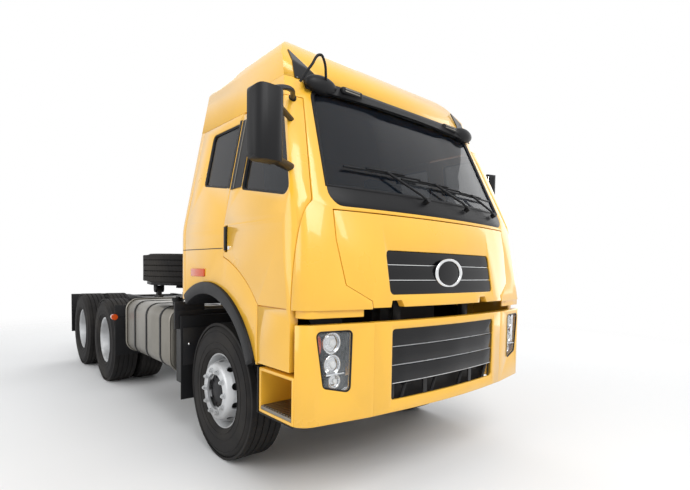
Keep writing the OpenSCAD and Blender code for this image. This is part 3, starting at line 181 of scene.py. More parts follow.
# %% Materials
def surface(name, color, rough, metal=0.0, spread=0.06, scale=3.0, bump=0.0, fine=60.0, coat=0.0, alpha=1.0,
            dirt=None, shine=0.5):
    m = bpy.data.materials.new(name)
    m.use_nodes = True
    nt = m.node_tree
    p = nt.nodes["Principled BSDF"]
    p.inputs["Metallic"].default_value = metal
    p.inputs["Coat Weight"].default_value = coat
    p.inputs["Coat Roughness"].default_value = 0.05
    p.inputs["Alpha"].default_value = alpha
    p.inputs["Specular IOR Level"].default_value = shine
    tc = nt.nodes.new("ShaderNodeTexCoord")
    n = nt.nodes.new("ShaderNodeTexNoise")
    n.inputs["Scale"].default_value, n.inputs["Detail"].default_value = scale, 6
    nt.links.new(tc.outputs["Object"], n.inputs["Vector"])
    mix = nt.nodes.new("ShaderNodeMix")
    mix.data_type = "RGBA"
    low = dirt or tuple(c * (1 - 2 * spread) for c in color)
    mix.inputs["A"].default_value = (*low, 1)
    mix.inputs["B"].default_value = (*color, 1)
    ramp = nt.nodes.new("ShaderNodeMapRange")
    ramp.inputs["From Min"].default_value, ramp.inputs["From Max"].default_value = 0.3, 0.55
    nt.links.new(n.outputs["Fac"], ramp.inputs["Value"])
    nt.links.new(ramp.outputs["Result"], mix.inputs["Factor"])
    nt.links.new(mix.outputs["Result"], p.inputs["Base Color"])
    rr = nt.nodes.new("ShaderNodeMapRange")
    rr.inputs["To Min"].default_value = min(1, rough * 1.25)
    rr.inputs["To Max"].default_value = rough * 0.85
    nt.links.new(n.outputs["Fac"], rr.inputs["Value"])
    nt.links.new(rr.outputs["Result"], p.inputs["Roughness"])
    if bump:
        f = nt.nodes.new("ShaderNodeTexNoise")
        f.inputs["Scale"].default_value, f.inputs["Detail"].default_value = fine, 4
        nt.links.new(tc.outputs["Object"], f.inputs["Vector"])
        b = nt.nodes.new("ShaderNodeBump")
        b.inputs["Strength"].default_value, b.inputs["Distance"].default_value = bump, 0.002
        nt.links.new(f.outputs["Fac"], b.inputs["Height"])
        nt.links.new(b.outputs["Normal"], p.inputs["Normal"])
    return m

YELLOW = (0.86, 0.47, 0.038)
M = {
    "paint": surface("yellow_paint", YELLOW, 0.28, spread=0.02, coat=0.6, bump=0.02, fine=220),
    "black": surface("black_plastic", (0.010, 0.010, 0.011), 0.42, bump=0.12, fine=500, shine=0.2),
    "gloss": surface("gloss_black", (0.005, 0.005, 0.006), 0.12, coat=0.15, shine=0.25),
    "tyre": surface("tyre_rubber", (0.016, 0.015, 0.015), 0.75, bump=0.25, fine=160,
                    dirt=(0.034, 0.031, 0.028), shine=0.2),
    "steel": surface("chassis_paint", (0.014, 0.014, 0.016), 0.5, bump=0.15, fine=90,
                     dirt=(0.032, 0.029, 0.026), shine=0.25),
    "alloy": surface("brushed_aluminium", (0.25, 0.235, 0.205), 0.34, metal=0.9, bump=0.08, fine=300),
    "silver": surface("wheel_silver", (0.60, 0.61, 0.62), 0.38, metal=0.45, bump=0.06, fine=120,
                      dirt=(0.36, 0.36, 0.36)),
    "glass": surface("tinted_glass", (0.006, 0.010, 0.016), 0.03, alpha=0.62, shine=0.4),
    "lens": surface("clear_lens", (0.55, 0.58, 0.60), 0.03, alpha=0.12),
    "chrome": surface("chrome", (0.78, 0.79, 0.80), 0.09, metal=1.0, spread=0.02),
    "lamp": surface("lamp_bowl", (0.72, 0.74, 0.76), 0.16, metal=0.8),
    "amber": surface("amber_lens", (0.62, 0.075, 0.006), 0.18, coat=0.4),
    "red": surface("red_lens", (0.42, 0.012, 0.010), 0.2, coat=0.4),
    "white": surface("white_lens", (0.8, 0.8, 0.78), 0.2, coat=0.4),
    "trim": surface("seat_cloth", (0.045, 0.047, 0.052), 0.85, bump=0.5, fine=420),
    "grey": surface("dash_grey", (0.06, 0.06, 0.062), 0.6, bump=0.2, fine=350),
}

# %% [markdown]
# ## Paint the CAD panels
# Every node takes the finish of its slot, save the grilles, the dashboard and the tail lamps, which take their own.
# A weld and a small bevel with hardened normals catch the light along the panel edges; the node's own mesh stays as
# it came.

# %% CAD finishes
slot_of = {s["node"]: s["material_slot"] for s in frame["record"]["subparts"]}
edge = {"paint": 0.006, "black": 0.004, "steel": 0.003, "alloy": 0.004, "silver": 0.002}
special = {"upper_grille": "gloss", "lower_grille": "gloss", "dashboard": "grey", "tail_lamps": "black"}
for name, o in nodes.items():
    key = special.get(name, slot_of[name])
    o.data.materials.clear()
    o.data.materials.append(M[key])
    for f in o.data.polygons:
        f.use_smooth = True
    w = o.modifiers.new("weld", "WELD")
    w.merge_threshold = 0.0002
    width = edge.get(slot_of[name], 0)
    if width:
        b = o.modifiers.new("bevel", "BEVEL")
        b.width, b.segments, b.limit_method, b.angle_limit = width, 2, "ANGLE", math.radians(40)
        b.harden_normals = True
    else:
        b = o.modifiers.new("split", "EDGE_SPLIT")
        b.split_angle = math.radians(35)
print("painted", len(nodes), "nodes")

# %% [markdown]
# ## Camera, light and floor
# The camera stands where the photographer stood, close to the front right corner. The pale floor fades
# out with distance, so that it meets the white background without an edge.

# %% Camera and studio
PHOTO_W, PHOTO_H, FOCAL = 690, 490, 456.0     # pixels
CENTRE_X, CENTRE_Y = 362.7, 291.0             # where the lens axis meets the photo, in pixels
CAMERA_PLACE = Vector((5.413, -2.714, 1.521))
SENSOR = 36                                   # mm

def photo_camera():
    yaw, pitch, roll = 2.4052, -0.0464, 0.0182
    f = Vector((math.cos(yaw) * math.cos(pitch), math.sin(yaw) * math.cos(pitch), math.sin(pitch)))
    right = f.cross(Vector((0, 0, 1))).normalized()
    up = right.cross(f)
    r2 = right * math.cos(roll) + up * math.sin(roll)
    u2 = up * math.cos(roll) - right * math.sin(roll)
    cam = bpy.data.cameras.new("photo_camera")
    o = bpy.data.objects.new("photo_camera", cam)
    bpy.context.collection.objects.link(o)
    mw = Matrix((r2, u2, -f)).transposed().to_4x4()
    mw.translation = CAMERA_PLACE
    o.matrix_world = mw
    cam.sensor_width, cam.lens = SENSOR, FOCAL / PHOTO_W * SENSOR
    cam.shift_x, cam.shift_y = (PHOTO_W / 2 - CENTRE_X) / PHOTO_W, (CENTRE_Y - PHOTO_H / 2) / PHOTO_W
    bpy.context.scene.camera = o
photo_camera()

def area(name, place, target, size, power):
    light = bpy.data.lights.new(name, "AREA")
    light.energy, light.size = power, size
    o = bpy.data.objects.new(name, light)
    bpy.context.collection.objects.link(o)
    o.location = place
    o.rotation_euler = (Vector(target) - Vector(place)).to_track_quat("-Z", "Y").to_euler()

area("key", (8.5, -1.5, 7.0), (2.0, -0.3, 1.2), 5.0, 420)
area("fill", (1.0, -9.0, 4.5), (1.0, 0, 1.2), 6.0, 240)
area("rear", (-8.0, 5.0, 6.0), (-1.0, 0, 1.0), 6.0, 260)
area("left", (2.0, 9.0, 4.0), (1.0, 0, 1.2), 6.0, 160)

clear()
bpy.ops.mesh.primitive_plane_add(size=120, location=(0, 0, -0.001))
floor = bpy.context.object
floor.name = "floor"
fm = bpy.data.materials.new("pale_floor")
fm.use_nodes = True
fp = fm.node_tree.nodes["Principled BSDF"]
fp.inputs["Base Color"].default_value = (0.86, 0.86, 0.86, 1)
fp.inputs["Roughness"].default_value = 0.9
fp.inputs["Specular IOR Level"].default_value = 0.1
floor.data.materials.append(fm)
nt = fm.node_tree
far = nt.nodes.new("ShaderNodeVectorMath")
far.operation = "LENGTH"
tc = nt.nodes.new("ShaderNodeTexCoord")
fade = nt.nodes.new("ShaderNodeMapRange")
fade.interpolation_type = "SMOOTHSTEP"
fade.inputs["From Min"].default_value, fade.inputs["From Max"].default_value = 3.0, 11.0
clear_air = nt.nodes.new("ShaderNodeBsdfTransparent")
fmix = nt.nodes.new("ShaderNodeMixShader")
nt.links.new(tc.outputs["Object"], far.inputs[0])
nt.links.new(far.outputs["Value"], fade.inputs["Value"])
nt.links.new(fade.outputs["Result"], fmix.inputs["Fac"])
nt.links.new(fp.outputs["BSDF"], fmix.inputs[1])
nt.links.new(clear_air.outputs["BSDF"], fmix.inputs[2])
nt.links.new(fmix.outputs["Shader"], nt.nodes["Material Output"].inputs["Surface"])

world = bpy.data.worlds.new("studio")
bpy.context.scene.world = world
world.use_nodes = True
wn = world.node_tree
bg = wn.nodes["Background"]
bg.inputs["Strength"].default_value = 1.0
lp = wn.nodes.new("ShaderNodeLightPath")
add1 = wn.nodes.new("ShaderNodeMath")
add1.operation = "MAXIMUM"
add2 = wn.nodes.new("ShaderNodeMath")
add2.operation = "MAXIMUM"
wn.links.new(lp.outputs["Is Camera Ray"], add1.inputs[0])
wn.links.new(lp.outputs["Is Glossy Ray"], add1.inputs[1])
wn.links.new(add1.outputs[0], add2.inputs[0])
wn.links.new(lp.outputs["Is Transmission Ray"], add2.inputs[1])
wmix = wn.nodes.new("ShaderNodeMix")
wmix.data_type = "RGBA"
wmix.inputs["A"].default_value = (0.66, 0.67, 0.68, 1)
wmix.inputs["B"].default_value = (1, 1, 1, 1)
wn.links.new(add2.outputs[0], wmix.inputs["Factor"])
wn.links.new(wmix.outputs["Result"], bg.inputs["Color"])
bpy.context.scene.view_settings.view_transform = "Standard"

# %% [markdown]
# ## Tyres
# A rounded section is swept round the axle for the carcass, and five ribs stand on it with fine slanting
# lines across them. The finished tyre is copied to every wheel.

# %% Tyres
RIB_W, RIB_PLACES = 0.047, (-0.108, -0.055, 0.0, 0.055, 0.108)
RIB_FOOT, RIB_EDGE, RIB_TOP = 0.518, 0.535, TYRE_R - 0.001
SIPES, SIPE_TURN = 96, math.radians(10)
CARCASS_R, CARCASS_H, CARCASS_W, CARCASS_ROUND = 0.407, 0.242, 0.288, 0.062
SPARE_PLACE = (0.5, -0.70, 1.5)
SIDEWALL_Y, SIDEWALL_LINES = 0.1435, (0.335, 0.385, 0.475)

def sweep_round(o, steps=72):
    m = o.modifiers.new("sweep", "SCREW")
    m.axis, m.steps, m.render_steps, m.angle = "Y", steps, steps, 2 * math.pi
    m.use_merge_vertices, m.merge_threshold = True, 0.0005
    apply_mods(o)
    bpy.ops.object.mode_set(mode="EDIT")
    bpy.ops.mesh.select_all(action="SELECT")
    bpy.ops.mesh.remove_doubles(threshold=0.0005)
    bpy.ops.mesh.normals_make_consistent(inside=False)
    bpy.ops.object.mode_set(mode="OBJECT")
    return o

def lathe(name, outline, steps=80):
    """A closed outline of (radius, y) points swept round the Y axis."""
    points = [(r, y, 0) for r, y in outline]
    o = sweep_round(pipe("section", points + points[:1], 0, smooth=False), steps)
    o.name = name
    return o

def make_tyre():
    clear()
    bpy.ops.mesh.primitive_plane_add(size=1, location=(0, 0, CARCASS_R), rotation=(0, math.pi / 2, 0))
    body = bpy.context.object
    body.scale = (CARCASS_H, CARCASS_W, 1)
    apply_place(body)
    m = body.modifiers.new("round", "BEVEL")
    m.affect, m.width, m.segments = "VERTICES", CARCASS_ROUND, 6
    apply_mods(body)
    bpy.ops.object.mode_set(mode="EDIT")
    bpy.ops.mesh.select_all(action="SELECT")
    bpy.ops.mesh.delete(type="ONLY_FACE")
    bpy.ops.object.mode_set(mode="OBJECT")
    sweep_round(body)
    tread = []
    for y in RIB_PLACES:
        a, b = y - RIB_W / 2, y + RIB_W / 2
        tread.append(lathe("rib", [(RIB_FOOT, a), (RIB_EDGE, a), (RIB_TOP, a + 0.003),
                                   (RIB_TOP, b - 0.003), (RIB_EDGE, b), (RIB_FOOT, b)], 96))
    sipes = []
    for i in range(SIPES):
        cut = box("sipe", (-0.0012, -0.131, 0.533), (0.0012, 0.131, 0.5395))
        turn = Matrix.Rotation(2 * math.pi * i / SIPES, 4, "Y")
        cut.data.transform(turn @ Matrix.Rotation(SIPE_TURN, 4, "Z"))
        sipes.append(cut)
    lines = [ring("line", (0, s * SIDEWALL_Y, 0), r, 0.0035) for s in (-1, 1) for r in SIDEWALL_LINES]
    return join("tyre_master", [body] + tread + sipes + lines)

master = make_tyre()
places = {"wheel_fr": ("tyre_front_right", [(FA, -FRONT_Y)]),
          "wheel_fl": ("tyre_front_left", [(FA, FRONT_Y)])}
for tag, x in (("mid", MID), ("rear", LAST)):
    for side, s in (("right", -1), ("left", 1)):
        spots = [(x, s * (REAR_Y + k * TWIN)) for k in (-1, 1)]
        places["wheel_" + tag[0] + side[0]] = ("tyres_%s_%s" % (tag, side), spots)
for body, (node, spots) in places.items():
    t = join(node + "_tread", [copy_of(master, "t", Matrix.Translation((x, y, AXLE_Z))) for x, y in spots])
    finish_piece(t, body, M["tyre"])
    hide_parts(node)
lay = Matrix.Translation(SPARE_PLACE) @ Matrix.Rotation(math.pi / 2, 4, "X")
spare = finish_piece(copy_of(master, "spare_tyre_tread", lay), "chassis", M["tyre"])
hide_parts("spare_tyre")
print("tyre triangles", sum(len(p.vertices) - 2 for p in master.data.polygons))
bpy.data.objects.remove(master)

# %% [markdown]
# ## Front wheels
# The rim and the bulging disc are outlines swept round the axle. Round hand holes are cut through the
# disc's slope, and ten nuts stand round the dark hub.

# %% Front wheels
NUTS, NUT_R, FACE, HUB_HOLE = 10, 0.1675, 0.168, 0.141
HAND_HOLE_R, HUB_BOLT_R = 0.029, 0.112
rim = lathe("rim", [(0.300, 0.115), (0.302, 0.108), (0.288, 0.102), (0.284, 0.088), (0.262, 0.040),
                    (0.262, -0.040), (0.284, -0.090), (0.301, -0.114), (0.290, -0.115), (0.273, -0.092),
                    (0.252, -0.042), (0.252, 0.038), (0.274, 0.090), (0.288, 0.116)])
disc = lathe("disc", [(0.256, 0.020), (0.250, 0.060), (0.238, 0.108), (0.224, 0.148), (0.212, 0.163),
                      (0.200, FACE), (HUB_HOLE, FACE), (HUB_HOLE, FACE - 0.016), (0.196, FACE - 0.016),
                      (0.206, 0.148), (0.218, 0.120), (0.232, 0.070), (0.240, 0.020)])
cutters = []
for i in range(NUTS):
    spin = Matrix.Rotation(2 * math.pi * (i + 0.5) / NUTS, 4, "Y")
    inner, outer = spin @ Vector((0.16, 0.085, 0)), spin @ Vector((0.32, 0.120, 0))
    cutters.append(tube("cut", inner, outer, HAND_HOLE_R, 32))
cutter = join("cutters", cutters)
m = disc.modifiers.new("holes", "BOOLEAN")
m.operation, m.object, m.solver = "DIFFERENCE", cutter, "EXACT"
apply_mods(disc)
bpy.data.objects.remove(cutter)
nuts, hub = [], [lathe("hub", [(0.0, 0.150), (0.070, 0.150), (0.085, 0.140), (0.138, 0.135), (0.140, 0.100),
                               (0.205, 0.060), (0.205, -0.080), (0.150, -0.080), (0.060, -0.075),
                               (0.060, 0.080), (0.0, 0.080)])]
for i in range(NUTS):
    spin = Matrix.Rotation(2 * math.pi * i / NUTS, 4, "Y")
    for r, a, b, verts in ((0.022, FACE - 0.002, FACE + 0.007, 24), (0.017, FACE + 0.005, FACE + 0.021, 6),
                           (0.010, FACE + 0.018, FACE + 0.029, 16)):
        nuts.append(tube("nut", spin @ Vector((NUT_R, a, 0)), spin @ Vector((NUT_R, b, 0)), r, verts))
    hub.append(tube("bolt", spin @ Vector((HUB_BOLT_R, 0.130, 0)), spin @ Vector((HUB_BOLT_R, 0.148, 0)), 0.008, 6))
wheel, hub = join("front_wheel", [rim, disc] + nuts), join("front_hub", hub)
for side, body, place in (("right", "wheel_fr", Matrix.Translation((FA, -FRONT_Y, AXLE_Z)) @ MIRROR),
                          ("left", "wheel_fl", Matrix.Translation((FA, FRONT_Y, AXLE_Z)))):
    w = finish_piece(copy_of(wheel, "front_disc_" + side, place), body, M["silver"])
    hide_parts("wheel_front_" + side)
    finish_piece(copy_of(hub, "front_hub_" + side, place), body, M["steel"])
print("front wheel triangles", sum(len(p.vertices) - 2 for p in wheel.data.polygons))
bpy.data.objects.remove(wheel)
bpy.data.objects.remove(hub)

# %% [markdown]
# ## Seals round the glass
# The rim of each pane is picked from the outer faces of its CAD node, turned into a curve and given a
# round section, so every seal lies exactly on its pane.

# %% Seals
def outline_of(node, facing, name, r):
    c = copy_of(nodes[node], name)
    c.modifiers.clear()
    pick(c)
    bpy.ops.object.mode_set(mode="EDIT")
    bpy.ops.mesh.select_all(action="SELECT")
    bpy.ops.mesh.remove_doubles(threshold=0.0003)
    bpy.ops.mesh.select_all(action="DESELECT")
    bpy.ops.object.mode_set(mode="OBJECT")
    for f in c.data.polygons:
        f.select = facing(f.normal, f.center)
    bpy.ops.object.mode_set(mode="EDIT")
    bpy.ops.mesh.select_mode(type="FACE")
    bpy.ops.mesh.select_all(action="INVERT")
    bpy.ops.mesh.delete(type="FACE")
    bpy.ops.mesh.select_all(action="SELECT")
    bpy.ops.mesh.region_to_loop()
    bpy.ops.mesh.select_all(action="INVERT")
    bpy.ops.mesh.delete(type="EDGE")
    bpy.ops.object.mode_set(mode="OBJECT")
    bpy.ops.object.convert(target="CURVE")
    c = bpy.context.object
    c.data.bevel_depth, c.data.bevel_resolution = r, 2
    bpy.ops.object.convert(target="MESH")
    return bpy.context.object

def side_face(n, c):
    return n.y * c.y > 0 and abs(n.y) > 0.6

def front_face(n, c):
    return n.x > 0.5

for node, body, face, r in (("windscreen", "cab", front_face, 0.016), ("side_glass", "cab", side_face, 0.015),
                            ("door_glass_right", "door_r", side_face, 0.015),
                            ("door_glass_left", "door_l", side_face, 0.015),
                            ("headlamps", "chassis", front_face, 0.006)):
    s = outline_of(node, face, node + "_seal", r)
    finish_piece(s, body, M["black"])
    print(s.name, len(s.data.polygons))

# %% [markdown]
# ## Headlamps
# The CAD lamp block is opened up: its outer faces become a thin clear lens, the block set back behind
# them becomes the housing, and bright bowls with their own glass sit between.

# %% Headlamps
def bow(y):
    return y * y / (2 * BOW_R)

def lamp_copy(name, keep_front):
    c = copy_of(nodes["headlamps"], name)
    c.modifiers.clear()
    pick(c)
    bpy.ops.object.mode_set(mode="EDIT")
    bpy.ops.mesh.select_all(action="SELECT")
    bpy.ops.mesh.remove_doubles(threshold=0.0003)
    bpy.ops.mesh.select_all(action="DESELECT")
    bpy.ops.object.mode_set(mode="OBJECT")
    for f in c.data.polygons:
        f.select = f.normal.x > 0.05
    bpy.ops.object.mode_set(mode="EDIT")
    if keep_front:
        bpy.ops.mesh.select_all(action="INVERT")
        bpy.ops.mesh.delete(type="FACE")
    else:
        bpy.ops.transform.translate(value=(-0.05, 0, 0))
    bpy.ops.object.mode_set(mode="OBJECT")
    if keep_front:
        m = c.modifiers.new("thick", "SOLIDIFY")
        m.thickness, m.offset = 0.004, -1
        apply_mods(c)
    return c

lens = finish_piece(lamp_copy("headlamp_lens", True), "chassis", M["lens"])
housing = finish_piece(lamp_copy("headlamp_housing", False), "chassis", M["gloss"])
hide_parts("headlamps")
bowls, bulbs, ambers = [], [], []
for s in (-1, 1):
    for y, z, r in ((1.005, 1.075, 0.062), (1.000, 0.940, 0.058), (0.985, 0.838, 0.040)):
        x = LAMP_X - bow(y) - 0.045
        bowls.append(ring("rim", (x, s * y, z), r, 0.008, "X", 48))
        bowls.append(ball("bowl", (x - 0.012, s * y, z), r, (0.35, 1, 1)))
        bulbs.append(ball("bulb", (x + 0.006, s * y, z), r * 0.45, (0.6, 1, 1)))
    ambers.append(ball("turn", (LAMP_X - bow(1.09) - 0.06, s * 1.088, 1.06), 0.045, (0.45, 0.6, 1.5)))
    strip_x, (y0, y1) = LAMP_X - bow(0.9), sorted((s * 0.915, s * 1.07))
    bowls.append(box("strip", (strip_x - 0.052, y0, 0.884), (strip_x - 0.030, y1, 0.892)))
finish_piece(join("headlamp_bowls", bowls), "chassis", M["chrome"])
finish_piece(join("headlamp_bulbs", bulbs), "chassis", M["white"])
finish_piece(join("headlamp_turns", ambers), "chassis", M["amber"])

# %% [markdown]
# ## Grille trim
# Thin bright lines follow the bow of the nose between the grille's bands. The badge place holds a plain
# oval ring with nothing on it.

# %% Grille trim
def nose(z):
    return NOSE_X + (BELT_Z - z) * math.tan(NOSE_LEAN)

def bowed_line(name, z, half, x0, r, steps=14):
    pts = [(x0 - bow(half * (2 * i / steps - 1)), half * (2 * i / steps - 1), z) for i in range(steps + 1)]
    return pipe(name, pts, r, smooth=False)

GRILLE_LOW, GRILLE_H, BAND_GAP, BADGE_Z = 1.362, 0.290, 0.014, 1.507
pitch = (GRILLE_H + BAND_GAP) / 3
upper = [bowed_line("line", GRILLE_LOW + k * pitch - 0.007, 0.585, nose(GRILLE_LOW + k * pitch) - 0.014, 0.0045)
         for k in (1, 2)]
finish_piece(join("upper_grille_lines", upper), "flap", M["chrome"])
badge = ring("badge", (0, 0, 0), 0.105, 0.011, "X", 64)
badge_place = Matrix.Translation((nose(BADGE_Z) + 0.002, 0, BADGE_Z))
badge.data.transform(badge_place @ Matrix.Diagonal((0.8, 1.36, 0.92, 1)))
disc = ball("badge_disc", (0, 0, 0), 0.1)
disc_place = Matrix.Translation((nose(BADGE_Z) - 0.006, 0, BADGE_Z))
disc.data.transform(disc_place @ Matrix.Diagonal((0.12, 1.36, 0.92, 1)))
finish_piece(badge, "flap", M["chrome"])
finish_piece(disc, "flap", M["gloss"])
bar = (0.466 - 0.110 - 0.028) / 3
lower = [bowed_line("line", 0.782 + k * (bar + BAND_GAP) - 0.007, 0.575, BUMPER_X - 0.018, 0.0045) for k in (1, 2)]
lower += [bowed_line("line", 0.780, 0.575, BUMPER_X - 0.012, 0.004)]
finish_piece(join("lower_grille_lines", lower), "chassis", M["silver"])

# %% [markdown]
# ## Cab trim
# Handles, locks, side lamps and the dark pillars between the windows. Each is made once for the right
# side and mirrored to the left.

# %% Cab trim
def pair(name, parts, bodies, mat):
    right = join(name + "_right", parts)
    left = copy_of(right, name + "_left", MIRROR)
    finish_piece(right, bodies[0], mat)
    finish_piece(left, bodies[1], mat)
    return right, left

DOORS, CAB, BASE = ("door_r", "door_l"), ("cab", "cab"), ("chassis", "chassis")
handle = [box("grip", (FA + 0.300, -1.252, 1.640), (FA + 0.330, -1.228, 1.812), 0.006),
          box("plate", (FA + 0.293, -1.226, 1.631), (FA + 0.337, -1.219, 1.819), 0.002)]
pair("door_handle", handle, DOORS, M["black"])
lock = tube("lock", (FA + 0.36, -1.243, 1.66), (FA + 0.36, -1.236, 1.66), 0.014)
pair("door_lock", [lock], DOORS, M["chrome"])
side_lamp = box("lamp", (FA - 0.30, -1.252, 1.445), (FA - 0.045, -1.238, 1.507), 0.005)
pair("side_lamp", [side_lamp], CAB, M["amber"])

def side_y(z):
    return SIDE_Y - (z - SIDE_Z) * SIDE_SLOPE

def flat_patch(name, corners, thick):
    """A flat patch through the given corners, thickened to both sides."""
    clear()
    bpy.ops.mesh.primitive_circle_add(vertices=len(corners), radius=1, fill_type="NGON")
    o = bpy.context.object
    o.name = name
    for v, p in zip(o.data.vertices, corners):
        v.co = p
    m = o.modifiers.new("thick", "SOLIDIFY")
    m.thickness, m.offset = thick, 0
    return apply_mods(o)

def side_strip(name, x0, x1, low, high, out=0.003):
    corners = ((x0, low), (x1, low), (x1, high), (x0, high))
    return flat_patch(name, [(x, -side_y(z) - out, z) for x, z in corners], 0.004)

door_strip = side_strip("strip", FA + 0.284, FA + 0.445, 2.085, 2.600)
pair("door_pillar", [door_strip], DOORS, M["black"])
cab_strip = side_strip("strip", FA + 0.235, FA + 0.262, 2.100, 2.610)
pair("cab_pillar", [cab_strip], CAB, M["black"])
bright_line = side_strip("line", FA + 0.330, FA + 0.338, 2.090, 2.596, 0.006)
pair("pillar_line", [bright_line], DOORS, M["alloy"])

# %% [markdown]
# ## Wipers
# Each arm runs from its pivot on the cowl to the middle of a blade, which lies along the foot of the
# screen and follows its bow.

# %% Wipers
def on_screen(y, up, out):
    s, c = math.sin(SCREEN_LEAN), math.cos(SCREEN_LEAN)
    return (NOSE_X - bow(y) - up * s + out * c, y, BELT_Z + up * c + out * s)

BLADE_HALF = 0.34
arms = []
for pivot_y, pivot_up, blade_y, blade_up in ((-0.158, 0.072, -0.478, 0.262), (0.345, 0.066, 0.005, 0.238),
                                             (0.790, 0.060, 0.500, 0.214)):
    ends = [blade_y + BLADE_HALF * (i / 4 - 1) for i in range(9)]
    arms.append(pipe("blade", [on_screen(y, blade_up, 0.014) for y in ends], 0.008, smooth=False))
    arms.append(pipe("spine", [on_screen(y, blade_up + 0.004, 0.026) for y in ends[2:7]], 0.006, smooth=False))
    arms.append(pipe("arm", [on_screen(pivot_y, pivot_up, 0.034),
                             on_screen(pivot_y - 0.06, pivot_up + 0.036, 0.040),
                             on_screen(blade_y, blade_up, 0.030)], 0.009, smooth=False))
    arms.append(tube("pivot", on_screen(pivot_y, pivot_up, 0.008), on_screen(pivot_y, pivot_up, 0.046), 0.020))
wipers = finish_piece(join("wiper_set", arms), "cab", M["black"])
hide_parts("wipers")

# %% [markdown]
# ## Steps and tank
# A ribbed alloy tread lies in each step box, which has a black edging. The tank gets rolled end rims and
# a black filler cap.

# %% Steps and tank
RIB_STEP = 0.031
tread = [box("plate", (FA + 0.822, -1.238, 0.611), (FA + 1.174, -0.905, 0.634), 0.003)]
tread += [box("rib", (FA + 0.835 + RIB_STEP * i, -1.230, 0.633), (FA + 0.849 + RIB_STEP * i, -0.915, 0.640))
          for i in range(11)]
pair("step_tread", tread, BASE, M["alloy"])
edging = [box("edge", (FA + 0.786, -1.246, 0.580), (FA + 0.799, -0.90, 0.884), 0.004),
          box("foot", (FA + 0.790, -1.240, 0.580), (FA + 1.190, -1.205, 0.589), 0.002)]
pair("step_edging", edging, BASE, M["black"])

def rounded_loop(y0, y1, z0, z1, r, x, n=6):
    pts = []
    for cy, cz, a in ((y1 - r, z0 + r, -90), (y1 - r, z1 - r, 0), (y0 + r, z1 - r, 90), (y0 + r, z0 + r, 180)):
        turns = [math.radians(a + 90 * i / n) for i in range(n + 1)]
        pts += [(x, cy + r * math.cos(t), cz + r * math.sin(t)) for t in turns]
    return pts + pts[:1]

rims = [pipe("rim", rounded_loop(-1.196, -0.514, 0.524, 1.131, 0.126, x), 0.010, smooth=False)
        for x in (-0.344, 1.064)]
finish_piece(join("tank_rims", rims), "chassis", M["alloy"])
CAP_X = 0.62
cap = [tube("cap", (CAP_X, -0.96, 1.160), (CAP_X, -0.96, 1.198), 0.058, 32),
       tube("neck", (CAP_X, -0.96, 1.127), (CAP_X, -0.96, 1.160), 0.050, 32),
       box("grip", (CAP_X - 0.04, -0.968, 1.195), (CAP_X + 0.04, -0.952, 1.212), 0.004)]
finish_piece(join("tank_cap", cap), "chassis", M["black"])

# %% [markdown]
# ## Panels behind the front wheels
# A dark locker door with a bright latch faces each front wheel, and a stepped panel above it closes the
# arch. A seam runs along the cab's side from its back to the door.

# %% Panels behind the front wheels
GUARD_X = 1.35                            # front face of the mudguard behind the wheel
panel = [box("upper", (GUARD_X - 0.08, -1.235, 0.960), (GUARD_X - 0.052, -0.440, 1.130), 0.005),
         box("crest", (GUARD_X - 0.08, -1.235, 1.120), (GUARD_X - 0.052, -0.960, 1.205), 0.005),
         box("locker_door", (GUARD_X - 0.002, -1.180, 0.640), (GUARD_X + 0.006, -0.860, 0.975), 0.003)]
pair("arch_panel", panel, BASE, M["steel"])
pair("locker_latch", [ball("latch", (GUARD_X + 0.006, -1.130, 0.830), 0.012)], BASE, M["chrome"])
seam = box("seam", (FA - 0.490, -1.2415, 1.656), (FA + 0.262, -1.2385, 1.662))
pair("side_seam", [seam], CAB, M["black"])

# %% [markdown]
# ## Lamps round the chassis
# Markers stand out on arms ahead of the rear wheels, and the tail lamps have their lenses in rows.

# %% Chassis lamps
def lens_at(name, c, r, axis):
    a = Vector(c)
    d = Vector({"X": (0.02, 0, 0), "Y": (0, 0.02, 0)}[axis])
    return tube(name, a - d, a + d, r, 32)

arm = [tube("arm", (-0.655, -1.10, 0.90), (-0.655, -1.275, 0.90), 0.009),
       box("foot", (-0.664, -1.13, 0.86), (-0.650, -1.09, 0.94), 0.003)]
pair("marker_arm", arm, BASE, M["black"])
pair("marker_amber", [lens_at("l", (-0.640, -1.255, 0.90), 0.035, "X")], BASE, M["amber"])
pair("marker_white", [lens_at("l", (-0.672, -1.255, 0.90), 0.030, "X")], BASE, M["white"])
for key, y0, y1 in (("red", 0.87, 0.99), ("amber", 0.765, 0.86), ("white", 0.655, 0.755)):
    pair("tail_" + key, [box("lens", (-3.406, -y1, 0.742), (-3.392, -y0, 0.838), 0.004)], BASE, M[key])

# %% [markdown]
# ## Fixings and lines on the frame
# Rows of bolt heads on the rails and pipes clipped inside them.

# %% Frame fixings
bolts = []
for x in [-3.25 + 0.16 * i for i in range(28)]:
    for z in (0.80, 0.96):
        bolts.append(tube("b", (x, -0.4295, z), (x, -0.440, z), 0.012, 6))
pair("rail_bolts", bolts, BASE, M["steel"])
LINE_Y = -0.405
lines = [pipe("line", [(-3.2, LINE_Y, 0.90), (-1.6, LINE_Y, 0.905), (0.2, LINE_Y, 0.895), (2.6, LINE_Y, 0.90)],
              0.011),
         pipe("line", [(x, LINE_Y, 0.93) for x in (-3.2, -1.6, 0.2, 2.6)], 0.008)]
pair("rail_lines", lines, BASE, M["black"])

# %% [markdown]
# ## Mirrors, visor ends and roof vanes
# Glass lies in both mirrors. Rounded pods close the visor's ends, with a slotted bracket beside each and
# dark vanes on the roof's corners above. A bent tube stands over the right pod, and a painted flange
# shows under the cab's corners.

